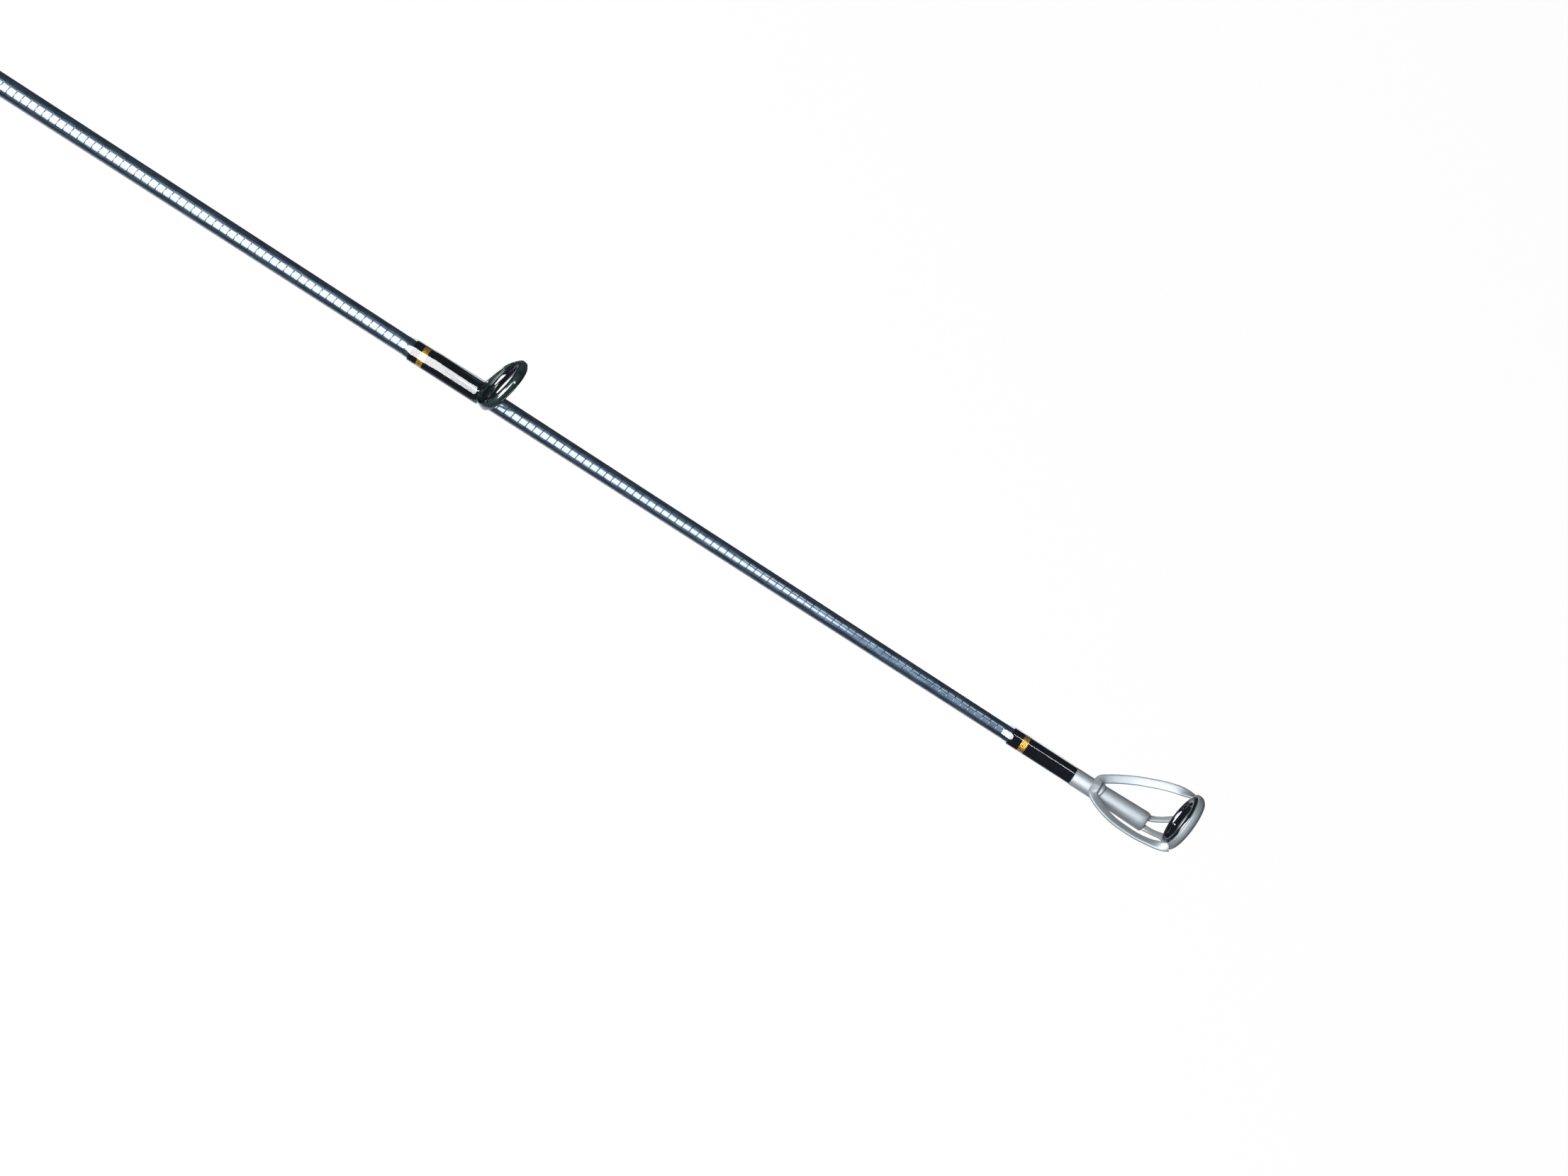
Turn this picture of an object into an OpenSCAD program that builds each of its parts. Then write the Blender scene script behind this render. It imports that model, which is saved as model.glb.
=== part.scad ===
/* [Rod] */
// Overall length, from the butt face to the front of the tip ring
rod_length = 1830; // [1500:5:2400]
// Outer diameter of the blank at its thin end
blank_tip_d = 2.05; // [1.6:0.05:2.6]
// Outer diameter of the blank at its thick end
blank_butt_d = 12.6; // [9.5:0.1:16]
// Wall of the blank at its thin end
wall_tip = 0.45; // [0.3:0.05:0.6]
// Wall of the blank at its thick end
wall_butt = 1.3; // [0.9:0.1:2]

/* [Ferrule] */
// Distance from the last guide forward to the middle of the ferrule
ferrule_ahead = 71; // [45:1:110]
// Gap left between the two sections when the spigot is home
ferrule_gap = 4; // [2:0.5:8]
// Length of spigot glued into the butt section
spigot_glued = 75; // [50:1:110]
// Length of spigot that stands out of the butt section
spigot_out = 80; // [50:1:110]
// Radial clearance of the spigot in the tip section
spigot_play = 0.05; // [0.02:0.01:0.1]
// Length of each thread wrap at the ferrule
ferrule_wrap = 13; // [9:1:25]

/* [Guides] */
// Distance from the tip ring back to the first guide
first_gap = 112.25; // [90:0.25:135]
// Each gap between guides over the one before it
gap_growth = 1.15; // [1.05:0.01:1.17]
// Outer diameter of the ring of guides 1 to 4 and of the tip
ring_d = 8; // [6.5:0.5:10]
// Outer diameter of the ring of guide 5
ring_d_mid = 10; // [8:0.5:13]
// Outer diameter of the ring of guide 6
ring_d_stripper = 12; // [10:0.5:15]
// Radial thickness of a ring
ring_thick = 1.1; // [0.8:0.1:1.3]
// Length of a ring along its axis
ring_wide = 1.2; // [1:0.05:1.6]
// Metal round a ring
frame_wall = 0.43; // [0.3:0.01:0.6]
// Length of a guide frame's band along the ring's axis
band_wide = 1.3; // [1.1:0.05:2]
// Forward lean of a single-foot guide
single_lean = 21; // [12:1:32]
// Forward lean of the two-foot guide
double_lean = 14; // [5:1:25]
// Length of a guide's foot
foot_length = 9.5; // [7:0.5:14]
// Width of a guide's foot
foot_width = 1.7; // [1.2:0.1:2.4]
// Height of a guide's foot where it leaves the wrap
foot_height = 0.3; // [0.2:0.02:0.36]

/* [Wraps] */
// Thickness of the thread
thread_thick = 0.2; // [0.12:0.01:0.3]
// Thickness of epoxy over the thread
epoxy_thick = 0.12; // [0.06:0.01:0.25]
// Length of bare thread behind the trim band
lead_thread = 1.4; // [0.8:0.1:3]
// Length of the trim band
trim_length = 0.95; // [0.5:0.05:2]
// Length of epoxy past the thread
epoxy_run = 1.3; // [0.6:0.1:2.5]
// Length of thread under a guide, in front of the trim band
guide_thread = 9.85; // [6:0.05:14]
// How far the wrap rises over a guide's foot
foot_bump = 0.18; // [0.16:0.01:0.25]

/* [Tip top] */
// Length of the tip tube
tube_length = 12.1; // [9:0.1:16]
// Wall of the tip tube
tube_wall = 0.24; // [0.18:0.01:0.35]
// Glue between the blank and the tip tube
tube_glue = 0.03; // [0.02:0.01:0.06]
// Distance from the front of the tip back to the front of the tube
tube_setback = 5.1; // [4.8:0.1:8]
// Length of tube ahead of the blank's end
tube_nose = 3; // [2:0.1:5]
// Height of the tip ring's centre over the rod's axis
tip_ring_height = 5.6; // [5.4:0.1:7]
// Forward lean of the tip ring
tip_lean = 7; // [0:1:12]
// Width of the tip frame's arms
arm_wide = 1.2; // [0.9:0.05:1.5]
// Thickness of the tip frame's sheet
arm_thick = 0.55; // [0.4:0.05:0.7]
// Length of the tip frame's band along the ring's axis
tip_band_wide = 1.3; // [1.1:0.05:1.8]
// Length of the tip ring along its axis
tip_ring_wide = 1.35; // [1.15:0.05:1.8]
// How far the tube's pinched nose stands out
nose_flare = 0.15; // [0:0.05:0.3]
// Length of thread between the tip's trim band and its tube
tip_thread = 7.8; // [5:0.1:12]

/* [Reel seat] */
// Distance from the butt face to the reel seat
seat_start = 208; // [180:1:260]
// Wall of the arbor between the blank and the seat, at its thinnest
arbor_wall = 0.9; // [0.6:0.1:2]
// Wall of the seat under the reel deck
deck_wall = 1.4; // [1.1:0.1:2.5]
// Height of the seat's barrel over the reel deck
barrel_crown = 3; // [2.5:0.1:4]
// Height of the pad in the middle of the reel deck
pad_height = 0.25; // [0.1:0.05:0.4]
// Width of that pad
pad_wide = 11; // [6:0.5:12]
// Depth of each pocket for the reel's foot
pocket_depth = 13; // [11:0.5:16]
// Shortest reel foot that the hoods clamp
foot_least = 54; // [48:1:60]
// Height of each pocket over the reel deck
pocket_height = 5.6; // [5:0.1:7]
// Travel of the moving hood
hood_travel = 16; // [10:0.5:18]
// Metal round the hoods
hood_wall = 1; // [0.8:0.1:1.6]
// Play of the hood and the nut on the barrel
barrel_play = 0.08; // [0.04:0.01:0.1]
// Length of the locking nut
nut_length = 22; // [16:1:24]
// Thickness of the sleeve round the nut
sleeve_thick = 1.5; // [1:0.1:2.5]
// How far the trigger stands below the barrel
trigger_drop = 15; // [11:0.5:19]
// Width of the trigger
trigger_wide = 8; // [6:0.5:10]

/* [Grips] */
// Radius of the butt cap
cap_r = 15; // [13.5:0.5:18]
// Length of the butt cap
cap_length = 16; // [12:1:24]
// Thickness of the butt cap's end
cap_floor = 3; // [2:0.5:5]
// Length of the butt trim ring
butt_ring = 3; // [2:0.5:5]
// Length of the rear check
rear_check_length = 3; // [2:0.5:5]
// Radius of the rear grip at its ends
grip_r = 13; // [12:0.5:16]
// How far the rear grip's waist pulls in
grip_waist = 2; // [0.5:0.25:3]
// Length of the fore grip
fore_length = 30; // [20:1:60]
// Radius of the fore grip's thin end
fore_r = 9; // [8.5:0.25:11]
// Length of the winding check
check_length = 6; // [4:0.5:9]

/* [Hook keeper] */
// Distance from the winding check to the keeper's pivot
keeper_ahead = 28; // [20:1:60]
// Length of each of the keeper's feet
keeper_foot_length = 8; // [6:0.5:12]
// Radius of the loop's wire
wire_r = 0.5; // [0.4:0.05:0.6]
// Half the width of the loop
loop_half = 3.2; // [2.9:0.1:4.5]
// Straight length of the loop
loop_straight = 4.5; // [4:0.5:9]
// Play of the loop's pin in the keeper
pin_play = 0.05; // [0.03:0.01:0.1]
// Thickness of the thread over the keeper's feet
keeper_wrap_thick = 0.62; // [0.6:0.01:0.8]

/* [Hidden] */
$fn = 48;
GUIDES = 6;
blank_end = rod_length - tube_setback - tube_nose;
blank_start = cap_floor;
tube_start = rod_length - tube_setback - tube_length;
tip_band_r = ring_d / 2 + frame_wall;
tip_ring_x = rod_length - tip_band_r * sin(tip_lean) - tip_band_wide / 2 * cos(tip_lean);

// Outer and inner radius of the blank at a distance from the butt
function blank_r(x) = (blank_tip_d + (blank_butt_d - blank_tip_d) * (blank_end - x) / blank_end) / 2;
function wall(x) = wall_tip + (wall_butt - wall_tip) * (blank_end - x) / blank_end;
function bore_r(x) = blank_r(x) - wall(x);

// Place and sizes of guide n, counted from the tip; its band is notched to sit on the blank
foot_clear = 0.02;
function guide_x(n) = tip_ring_x - first_gap * (pow(gap_growth, n) - 1) / (gap_growth - 1);
function ring_of(n) = n <= 4 ? ring_d : n == 5 ? ring_d_mid : ring_d_stripper;
function lean_of(n) = n < GUIDES ? single_lean : double_lean;
function band_of(n) = ring_of(n) / 2 + frame_wall;
function low_x(n) = guide_x(n) - band_of(n) * sin(lean_of(n));
function guide_z(n) = blank_r(low_x(n) - band_wide) + foot_clear + band_of(n) * cos(lean_of(n));
// The thread of guide n ends where its band comes down to the blank
function wrap_end(n) = low_x(n) - band_wide / 2 * cos(lean_of(n)) + web_lap;

ferrule_x = guide_x(GUIDES) + ferrule_ahead;
butt_blank_end = ferrule_x - ferrule_gap / 2;
tip_blank_start = ferrule_x + ferrule_gap / 2;
lip_depth = 0.45;
lip_thick = 0.25;
shroud_depth = 0.9;
web_lap = 0.7;
strut_base = 1.6;

// Reel seat: each radius follows from the blank inside it
seat_bore = blank_r(seat_start) + arbor_wall;
deck_z = seat_bore + deck_wall;
barrel_r = deck_z + barrel_crown;
pocket_end = seat_start + 5;
fixed_mouth = pocket_end + pocket_depth;
hood_lift = 1.6;
pocket_r = deck_z + pocket_height - hood_lift;
shell_lift = hood_lift - 0.4;
shell_r = pocket_r + hood_wall + 0.4;
hood_wall_x = pocket_end + foot_least + hood_travel;
hood_mouth = hood_wall_x - pocket_depth;
hood_back = 6;
nut_start = hood_wall_x + hood_back + 0.2;
nut_end = nut_start + nut_length;
seat_end = nut_end + 4;
nut_r = barrel_r + 1.6;
fore_start = seat_end + 1;
fore_end = fore_start + fore_length;
check_end = fore_end + check_length;
cap_round = 2.5;
grip_start = cap_length + butt_ring;
grip_end = seat_start - rear_check_length;
trigger_x = seat_start + 40;

keeper_x = check_end + keeper_ahead;
pivot_z = -blank_r(keeper_x) - 1.6;
ear_r = wire_r + pin_play + 0.75;
ear_half = 1.6;
keeper_foot_h = 0.5;
keeper_foot_wide = 2;

BLANK = "#1c2431";
THREAD = "#0b0b0d";
GOLD = "#c8942c";
EPOXY = "#5b6675";
METAL = "#9aa0a4";
FRAME = "#22302f";
RING = "#0a0a0c";
EVA = "#202124";
PLASTIC = "#15161a";

PIECES = ["frame", "ring", "wrap", "trim", "epoxy"];

// A solid of revolution about the rod's axis, from points of radius and distance from the butt
module turned(points) {
    rotate([0, 90, 0]) rotate_extrude() polygon(points);
}

// A side outline in X and Z, given a width in Y
module side_plate(points, width) {
    translate([0, width / 2, 0]) rotate([90, 0, 0]) linear_extrude(width) polygon(points);
}

// The blank's outside, with a skin of the given thickness, as a solid
module blank_solid(x0, x1, skin = 0) {
    turned([[0, x0], [blank_r(x0) + skin, x0], [blank_r(x1) + skin, x1], [0, x1]]);
}

// Hollow stretch of blank
module blank_tube(x0, x1) {
    color(BLANK) turned([[bore_r(x0), x0], [blank_r(x0), x0], [blank_r(x1), x1], [bore_r(x1), x1]]);
}

// A shell lying on the blank from x0 to x1
module shell_on_blank(x0, x1, thick) {
    turned([[blank_r(x0), x0], [blank_r(x0) + thick, x0], [blank_r(x1) + thick, x1], [blank_r(x1), x1]]);
}

// Epoxy over a plain wrap: thin at its free ends, full over the thread
module epoxy_over(x0, x1, run0, run1) {
    thick = thread_thick + epoxy_thick;
    edge = 0.04;
    turned(concat(
        [[blank_r(x0 - run0), x0 - run0], [blank_r(x0 - run0) + edge, x0 - run0]],
        [[blank_r(x0) + thick, x0 + 0.2], [blank_r(x1) + thick, x1 - (run1 > 0 ? 0.2 : 0)]],
        run1 > 0 ? [[blank_r(x1 + run1) + edge, x1 + run1], [blank_r(x1 + run1), x1 + run1]] : [],
        [[blank_r(x1), x1], [blank_r(x1) + thread_thick, x1]],
        [[blank_r(x0) + thread_thick, x0], [blank_r(x0), x0]]
    ));
}

/* Guides */

// Children drawn along the ring axis of guide n, with +Z pointing backward along it
module at_ring(n) {
    translate([guide_x(n), 0, guide_z(n)]) rotate([0, lean_of(n) - 90, 0]) children();
}

// A ring with rounded edges and a short straight land in its hole
module ring_solid(outer_r, wide) {
    inner_r = outer_r - ring_thick;
    round_r = ring_thick * 0.42;
    land = wide / 2 - round_r;
    rotate_extrude() union() {
        translate([inner_r, -land]) square([ring_thick, 2 * land]);
        translate([inner_r + round_r, -wide / 2]) square([ring_thick - round_r, wide]);
        for (side = [-1, 1]) translate([inner_r + round_r, side * land]) circle(round_r);
    }
}

// Side outline of the foot's tongue, which lies under the thread
function tongue_outline(n) =
    let (xe = wrap_end(n), xs = xe - foot_length)
    [[xs, 0], [xs, blank_r(xs) + 0.12], [xs + 2, blank_r(xs) + 0.2], [xe, blank_r(xe) + foot_height],
     [xe, 0]];

// Side outline of the web that rises from the tongue to under the band
function web_outline(n) =
    let (xe = wrap_end(n), re = blank_r(xe))
    [[xe - web_lap, 0], [xe - web_lap, re + foot_height - 0.03], [xe - 0.1, re + foot_height + 0.4],
     [xe + 0.5, re + band_of(n) * 0.55], [low_x(n) + band_of(n) * 0.35, re + band_of(n) * 0.62],
     [low_x(n) + 0.6, 0]];

// The tongue's back is rounded, so that the thread over it stays closed
module guide_foot(n) {
    intersection() {
        side_plate(tongue_outline(n), foot_width);
        translate([0, 0, foot_bump]) blank_solid(wrap_end(n) - 20, wrap_end(n) + 5, thread_thick - 0.06);
    }
    side_plate(web_outline(n), foot_width);
}

module guide_frame(n) {
    r = band_of(n);
    seat_r = ring_of(n) / 2;
    color(FRAME) difference() {
        union() {
            at_ring(n) rotate_extrude() translate([seat_r, -band_wide / 2]) square([frame_wall, band_wide]);
            // The lip that the ring is pressed against
            at_ring(n) rotate_extrude()
                translate([seat_r - lip_depth, ring_wide / 2])
                    square([lip_depth + 0.05, band_wide / 2 - ring_wide / 2 + lip_thick]);
            // The shroud behind the lower half of the band, notched over the wrap's end
            difference() {
                intersection() {
                    at_ring(n) rotate_extrude() translate([seat_r - 0.1, band_wide / 2 - 0.01])
                        square([frame_wall + 0.1, shroud_depth]);
                    translate([guide_x(n) - 10, -10, guide_z(n) - 20]) cube([20, 20, 20]);
                }
                wrap_form(wrap_end(n) - 5, wrap_end(n) - web_lap + foot_clear,
                    thread_thick + epoxy_thick + foot_clear, false, false);
            }
            difference() {
                guide_foot(n);
                at_ring(n) cylinder(h = 12, r = seat_r - 0.4, center = true);
                at_ring(n) translate([0, 0, -6]) cylinder(h = 6 + ring_wide / 2, r = seat_r + 0.1);
            }
            if (n == GUIDES) difference() {
                front_struts(n);
                at_ring(n) cylinder(h = ring_wide + 1, r = seat_r + 0.05, center = true);
            }
        }
        blank_solid(guide_x(n) - 60, guide_x(n) + 60, foot_clear);
    }
}

// The second foot of the stripper guide, and the two struts up to its band
function front_foot_x(n) = guide_x(n) + band_of(n) * 1.15;

module front_struts(n) {
    x0 = front_foot_x(n);
    x1 = x0 + foot_length;
    r0 = blank_r(x0);
    x_wrap = x0 + strut_base;
    side_plate([[x0, 0], [x0, r0 + 0.9], [x_wrap, r0 + foot_height], [x_wrap, 0]], foot_width);
    intersection() {
        side_plate([[x_wrap - 0.1, 0], [x_wrap - 0.1, r0 + foot_height], [x1 - 2, r0 + 0.2],
            [x1, r0 + 0.12], [x1, 0]], foot_width);
        translate([0, 0, foot_bump]) blank_solid(x0 - 5, x1 + 5, thread_thick - 0.06);
    }
    for (side = [-1, 1]) hull() {
        translate([x0 + 0.7, side * 0.45, r0 + 0.35]) cube([1, 0.8, 0.6], center = true);
        translate([guide_x(n) + 0.8, side * (band_of(n) - 0.1), guide_z(n) + 0.4])
            cube([1, 0.8, 1.5], center = true);
    }
}

module guide_ring(n) {
    color(RING) at_ring(n) ring_solid(ring_of(n) / 2, ring_wide);
}

// Outside of the wrap over a guide's foot: round the blank, and again a little higher over the foot
module wrap_form(x0, x1, skin, taper0, taper1) {
    for (lift = [0, foot_bump]) translate([0, 0, lift]) turned([
        [0, x0], [blank_r(x0) + (taper0 ? 0.05 : skin), x0], [blank_r(x0) + skin, x0 + (taper0 ? 0.9 : 0)],
        [blank_r(x1) + skin, x1 - (taper1 ? 0.9 : 0)], [blank_r(x1) + (taper1 ? 0.05 : skin), x1], [0, x1]]);
}

// Where the wraps of guide n start and end: its rear foot, and its front foot if it has one
function wrap_spans(n) =
    let (front = front_foot_x(n) + strut_base, threads = guide_thread + trim_length + lead_thread)
    concat([[wrap_end(n) - threads, wrap_end(n) - web_lap, 1]],
        n == GUIDES ? [[front, front + threads - web_lap, -1]] : []);

// The trim band of a wrap, lead_thread in from its far end
function trim_start(span) = span[2] > 0 ? span[0] + lead_thread : span[1] - lead_thread - trim_length;

module guide_wrap(n) {
    color(THREAD) for (span = wrap_spans(n)) difference() {
        wrap_form(span[0], span[1], thread_thick, false, false);
        blank_solid(span[0] - 1, span[1] + 1);
        wrap_foot(n);
        translate([trim_start(span), -10, -10]) cube([trim_length, 20, 20]);
    }
}

module guide_trim(n) {
    color(GOLD) for (span = wrap_spans(n)) difference() {
        wrap_form(trim_start(span), trim_start(span) + trim_length, thread_thick, false, false);
        blank_solid(span[0] - 1, span[1] + 1);
        wrap_foot(n);
    }
}

module guide_epoxy(n) {
    color(EPOXY) for (span = wrap_spans(n)) difference() {
        wrap_form(span[0] - (span[2] > 0 ? epoxy_run : 0), span[1] + (span[2] > 0 ? 0 : epoxy_run),
            thread_thick + epoxy_thick, span[2] > 0, span[2] < 0);
        wrap_form(span[0], span[1], thread_thick, false, false);
        blank_solid(span[0] - 5, span[1] + 5);
        wrap_foot(n);
    }
}

// The feet of guide n as the wraps see them
module wrap_foot(n) {
    guide_foot(n);
    if (n == GUIDES) front_struts(n);
}

/* Tip top */

module at_tip_ring() {
    translate([tip_ring_x, 0, tip_ring_height]) rotate([0, tip_lean - 90, 0]) children();
}

tube_r = blank_r(tube_start) + tube_glue + tube_wall;
nose_r = tube_r + nose_flare;
tube_end = tube_start + tube_length;

module tiptop_tube() {
    color(METAL) difference() {
        turned([[0, tube_start], [tube_r, tube_start], [tube_r, tube_start + 5], [nose_r, tube_end - 0.3],
            [nose_r - 0.3, tube_end], [0, tube_end]]);
        turned([[0, tube_start - 1], [blank_r(tube_start) + tube_glue, tube_start - 1],
            [blank_r(tube_start) + tube_glue, blank_end + 0.4], [0, blank_end + 0.4]]);
    }
}

// The ring's front face along its axis, against the lip of the band
tip_ring_front = lip_thick - tip_band_wide / 2;
tip_lip_depth = 0.4;
saddle_x = tube_start + 3.7;
arm_slope = atan((tip_ring_height - tube_r - 0.3) / (tip_ring_x - saddle_x - 1));
arm_reach = (tip_ring_x - saddle_x) / cos(arm_slope);

// Half the arms' outer outline, in the plane that rises from the tube to the ring
function arm_side(inset) = [
    [-0.8 + inset * 0.6, 1.25 - inset], [1.4, 2.55 - inset], [arm_reach * 0.5, tip_band_r + 0.25 - inset],
    [arm_reach * 0.75, tip_band_r + 0.55 - inset], [arm_reach * 0.9, tip_band_r + 0.4 - inset],
    [arm_reach, tip_band_r - inset * 0.7]];
function mirrored(points) = [for (i = [len(points) - 1 : -1 : 0]) [points[i][0], -points[i][1]]];
function arm_outline(inset) = concat(arm_side(inset), mirrored(arm_side(inset)));

module tiptop_frame() {
    seat_r = ring_d / 2;
    color(METAL) difference() {
        union() {
            at_tip_ring() rotate_extrude()
                translate([seat_r, -tip_band_wide / 2]) square([frame_wall, tip_band_wide]);
            at_tip_ring() rotate_extrude() translate([seat_r - tip_lip_depth, -tip_band_wide / 2])
                square([tip_lip_depth + 0.1, lip_thick]);
            translate([saddle_x, 0, tube_r - 0.12]) rotate([0, -arm_slope, 0])
                linear_extrude(arm_thick) difference() {
                    polygon(arm_outline(0));
                    polygon(concat([[1.6, 0.5]], [for (p = arm_side(arm_wide)) if (p[0] > 1.5) p],
                        [for (p = mirrored(arm_side(arm_wide))) if (p[0] > 1.5) p], [[1.6, -0.5]]));
                }
            for (side = [-1, 1]) hull() {
                translate([tube_end + 0.15, side * 0.8, 0.1]) cube([0.3, 1, 0.5], center = true);
                translate([tip_ring_x - 0.75, side * 1.65, tip_ring_height - tip_band_r * 0.93 + 0.1])
                    cube([0.4, 1, 0.5], center = true);
            }
        }
        at_tip_ring() translate([0, 0, tip_ring_front]) cylinder(h = 4, r = seat_r);
        at_tip_ring() cylinder(h = 8, r = seat_r - tip_lip_depth, center = true);
        turned([[0, tube_start], [tube_r, tube_start], [tube_r, tube_start + 5], [nose_r, tube_end - 0.3],
            [nose_r - 0.3, tube_end], [0, tube_end]]);
    }
}

module tiptop_ring() {
    color(RING) at_tip_ring() translate([0, 0, tip_ring_front + tip_ring_wide / 2])
        ring_solid(ring_d / 2, tip_ring_wide);
}

tip_wrap_start = tube_start - tip_thread - trim_length - lead_thread - 0.2;

module tiptop_wrap() {
    start = tip_wrap_start + lead_thread;
    color(THREAD) {
        shell_on_blank(tip_wrap_start, start, thread_thick);
        shell_on_blank(start + trim_length, tube_start, thread_thick);
    }
}

module tiptop_trim() {
    start = tip_wrap_start + lead_thread;
    color(GOLD) shell_on_blank(start, start + trim_length, thread_thick);
}

module tiptop_epoxy() {
    color(EPOXY) epoxy_over(tip_wrap_start, tube_start, epoxy_run + 0.1, 0);
}

/* Ferrule */

module ferrule_spigot() {
    x0 = butt_blank_end - spigot_glued;
    x1 = butt_blank_end;
    x2 = tip_blank_start;
    x3 = butt_blank_end + spigot_out;
    color("#2b2f36") turned([[0, x0], [bore_r(x0) - 0.3, x0], [bore_r(x0 + 1), x0 + 1], [bore_r(x1), x1],
        [bore_r(x2) - spigot_play, x2], [bore_r(x3 - 1) - spigot_play, x3 - 1], [bore_r(x3) - 0.4, x3],
        [0, x3]]);
}

// A wrap beside the ferrule: away is -1 on the butt section and 1 on the tip section
module ferrule_part(piece, away) {
    edge = away > 0 ? tip_blank_start + 0.4 : butt_blank_end - 0.4;
    far = edge + away * ferrule_wrap;
    x0 = min(edge, far);
    x1 = max(edge, far);
    trim = away > 0 ? x1 - lead_thread - trim_length : x0 + lead_thread;
    if (piece == "wrap") color(THREAD) {
        shell_on_blank(x0, trim, thread_thick);
        shell_on_blank(trim + trim_length, x1, thread_thick);
    }
    if (piece == "trim") color(GOLD) shell_on_blank(trim, trim + trim_length, thread_thick);
    if (piece == "epoxy") color(EPOXY)
        epoxy_over(x0, x1, away > 0 ? 0.3 : epoxy_run, away > 0 ? epoxy_run : 0.3);
}

/* Handle */

module butt_cap() {
    arc = [for (a = [0 : 15 : 90]) [cap_r - cap_round + cap_round * sin(a), cap_round - cap_round * cos(a)]];
    color("#101113") turned(concat([[0, 0]], arc, [[cap_r, cap_length - 1], [cap_r - 1, cap_length],
        [blank_r(cap_length), cap_length], [blank_r(cap_floor), cap_floor], [0, cap_floor]]));
}

// A ring on the blank with chamfered edges
module blank_collar(x0, x1, r0, r1, chamfer) {
    turned([[blank_r(x0), x0], [r0 - chamfer, x0], [r0, x0 + chamfer], [r1, x1 - chamfer], [r1 - chamfer, x1],
        [blank_r(x1), x1]]);
}

module butt_trim() {
    color(GOLD) blank_collar(cap_length, grip_start, cap_r - 1, cap_r - 1, 0.5);
}

module rear_check() {
    color(GOLD) blank_collar(grip_end, seat_start, grip_r - 0.3, grip_r - 0.3, 0.5);
}

module rear_grip() {
    steps = 24;
    span = grip_end - grip_start;
    waist = [for (i = [0 : steps]) let (x = grip_start + 1.5 + (span - 3) * i / steps)
        [grip_r + 0.7 - grip_waist * pow(sin(180 * pow(i / steps, 0.8)), 2) - 1.2 * i / steps, x]];
    color(EVA) turned(concat([[blank_r(grip_start), grip_start], [waist[0][0] - 1.5, grip_start]], waist,
        [[waist[steps][0] - 1.5, grip_end], [blank_r(grip_end), grip_end]]));
}

module seat_arbor() {
    x0 = seat_start + 2;
    x1 = seat_end - 2;
    color("#7a6a52") turned([[blank_r(x0), x0], [seat_bore, x0], [seat_bore, x1], [blank_r(x1), x1]]);
}

// A cylinder along the rod, its centre raised by lift
module barrel(x0, x1, r, lift = 0) {
    translate([x0, 0, lift]) rotate([0, 90, 0]) cylinder(h = x1 - x0, r = r);
}

// Everything over the reel deck from x0 to x1
module over_deck(x0, x1, z) {
    translate([x0, -30, z]) cube([x1 - x0, 60, 40]);
}

// The trigger's centre line is an arc; its half thickness falls towards the tip
function trigger_mid(t) = [trigger_x + 5 * t + 6 * t * t, -barrel_r + 2 - (trigger_drop + 1.5) * sin(90 * t)];
function trigger_half(t) = 6 - 4 * pow(t, 0.7);
TRIGGER_STEPS = 12;
function trigger_edge(side) = [for (i = [0 : TRIGGER_STEPS])
    let (t = i / TRIGGER_STEPS, p = trigger_mid(t)) [p[0] + side * trigger_half(t), p[1]]];
function reversed(points) = [for (i = [len(points) - 1 : -1 : 0]) points[i]];

module reel_seat() {
    color(PLASTIC) difference() {
        union() {
            barrel(seat_start, seat_end, barrel_r);
            barrel(seat_start, pocket_end, pocket_r, hood_lift);
            side_plate(concat(trigger_edge(-1), reversed(trigger_edge(1))), trigger_wide);
        }
        over_deck(pocket_end, seat_end + 1, deck_z);
        barrel(seat_start - 1, seat_end + 1, seat_bore);
    }
    color(PLASTIC) deck_pad();
}

// The pad under the middle of the reel's foot, between the two hoods' mouths
module deck_pad() {
    x0 = fixed_mouth + 1;
    x1 = hood_mouth - hood_travel - 1;
    sunk = 0.5;
    translate([x0, -pad_wide / 2, deck_z - sunk]) cube([x1 - x0, pad_wide, sunk + pad_height]);
}

module fixed_hood() {
    color("#b9bcc0") difference() {
        barrel(seat_start + 1, fixed_mouth, shell_r, shell_lift);
        barrel(seat_start, fixed_mouth + 1, pocket_r, hood_lift);
        barrel(seat_start, fixed_mouth + 1, barrel_r);
    }
}

module moving_hood() {
    back = hood_wall_x + hood_back;
    color("#b9bcc0") difference() {
        union() {
            barrel(hood_mouth, hood_wall_x + 3, shell_r, shell_lift);
            barrel(hood_wall_x, back, nut_r + 0.5);
        }
        difference() {
            barrel(hood_mouth - 1, back + 1, barrel_r + barrel_play);
            over_deck(hood_mouth - 2, back + 2, deck_z + barrel_play);
        }
        intersection() {
            barrel(hood_mouth - 1, hood_wall_x, pocket_r, hood_lift);
            over_deck(hood_mouth - 2, hood_wall_x, deck_z - 0.5);
        }
    }
}

module locking_nut() {
    bore = barrel_r + barrel_play;
    color(PLASTIC) turned([[bore, nut_start], [nut_r + 1, nut_start], [nut_r + 1, nut_start + 3],
        [nut_r, nut_start + 3.5], [nut_r, nut_end - 1.5], [nut_r - 0.8, nut_end], [bore, nut_end]]);
}

module nut_sleeve() {
    x0 = nut_start + 4;
    x1 = nut_end - 2;
    color(EVA) turned([[nut_r, x0], [nut_r + sleeve_thick - 0.6, x0], [nut_r + sleeve_thick, x0 + 0.6],
        [nut_r + sleeve_thick, x1 - 0.6], [nut_r + sleeve_thick - 0.6, x1], [nut_r, x1]]);
}

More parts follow.
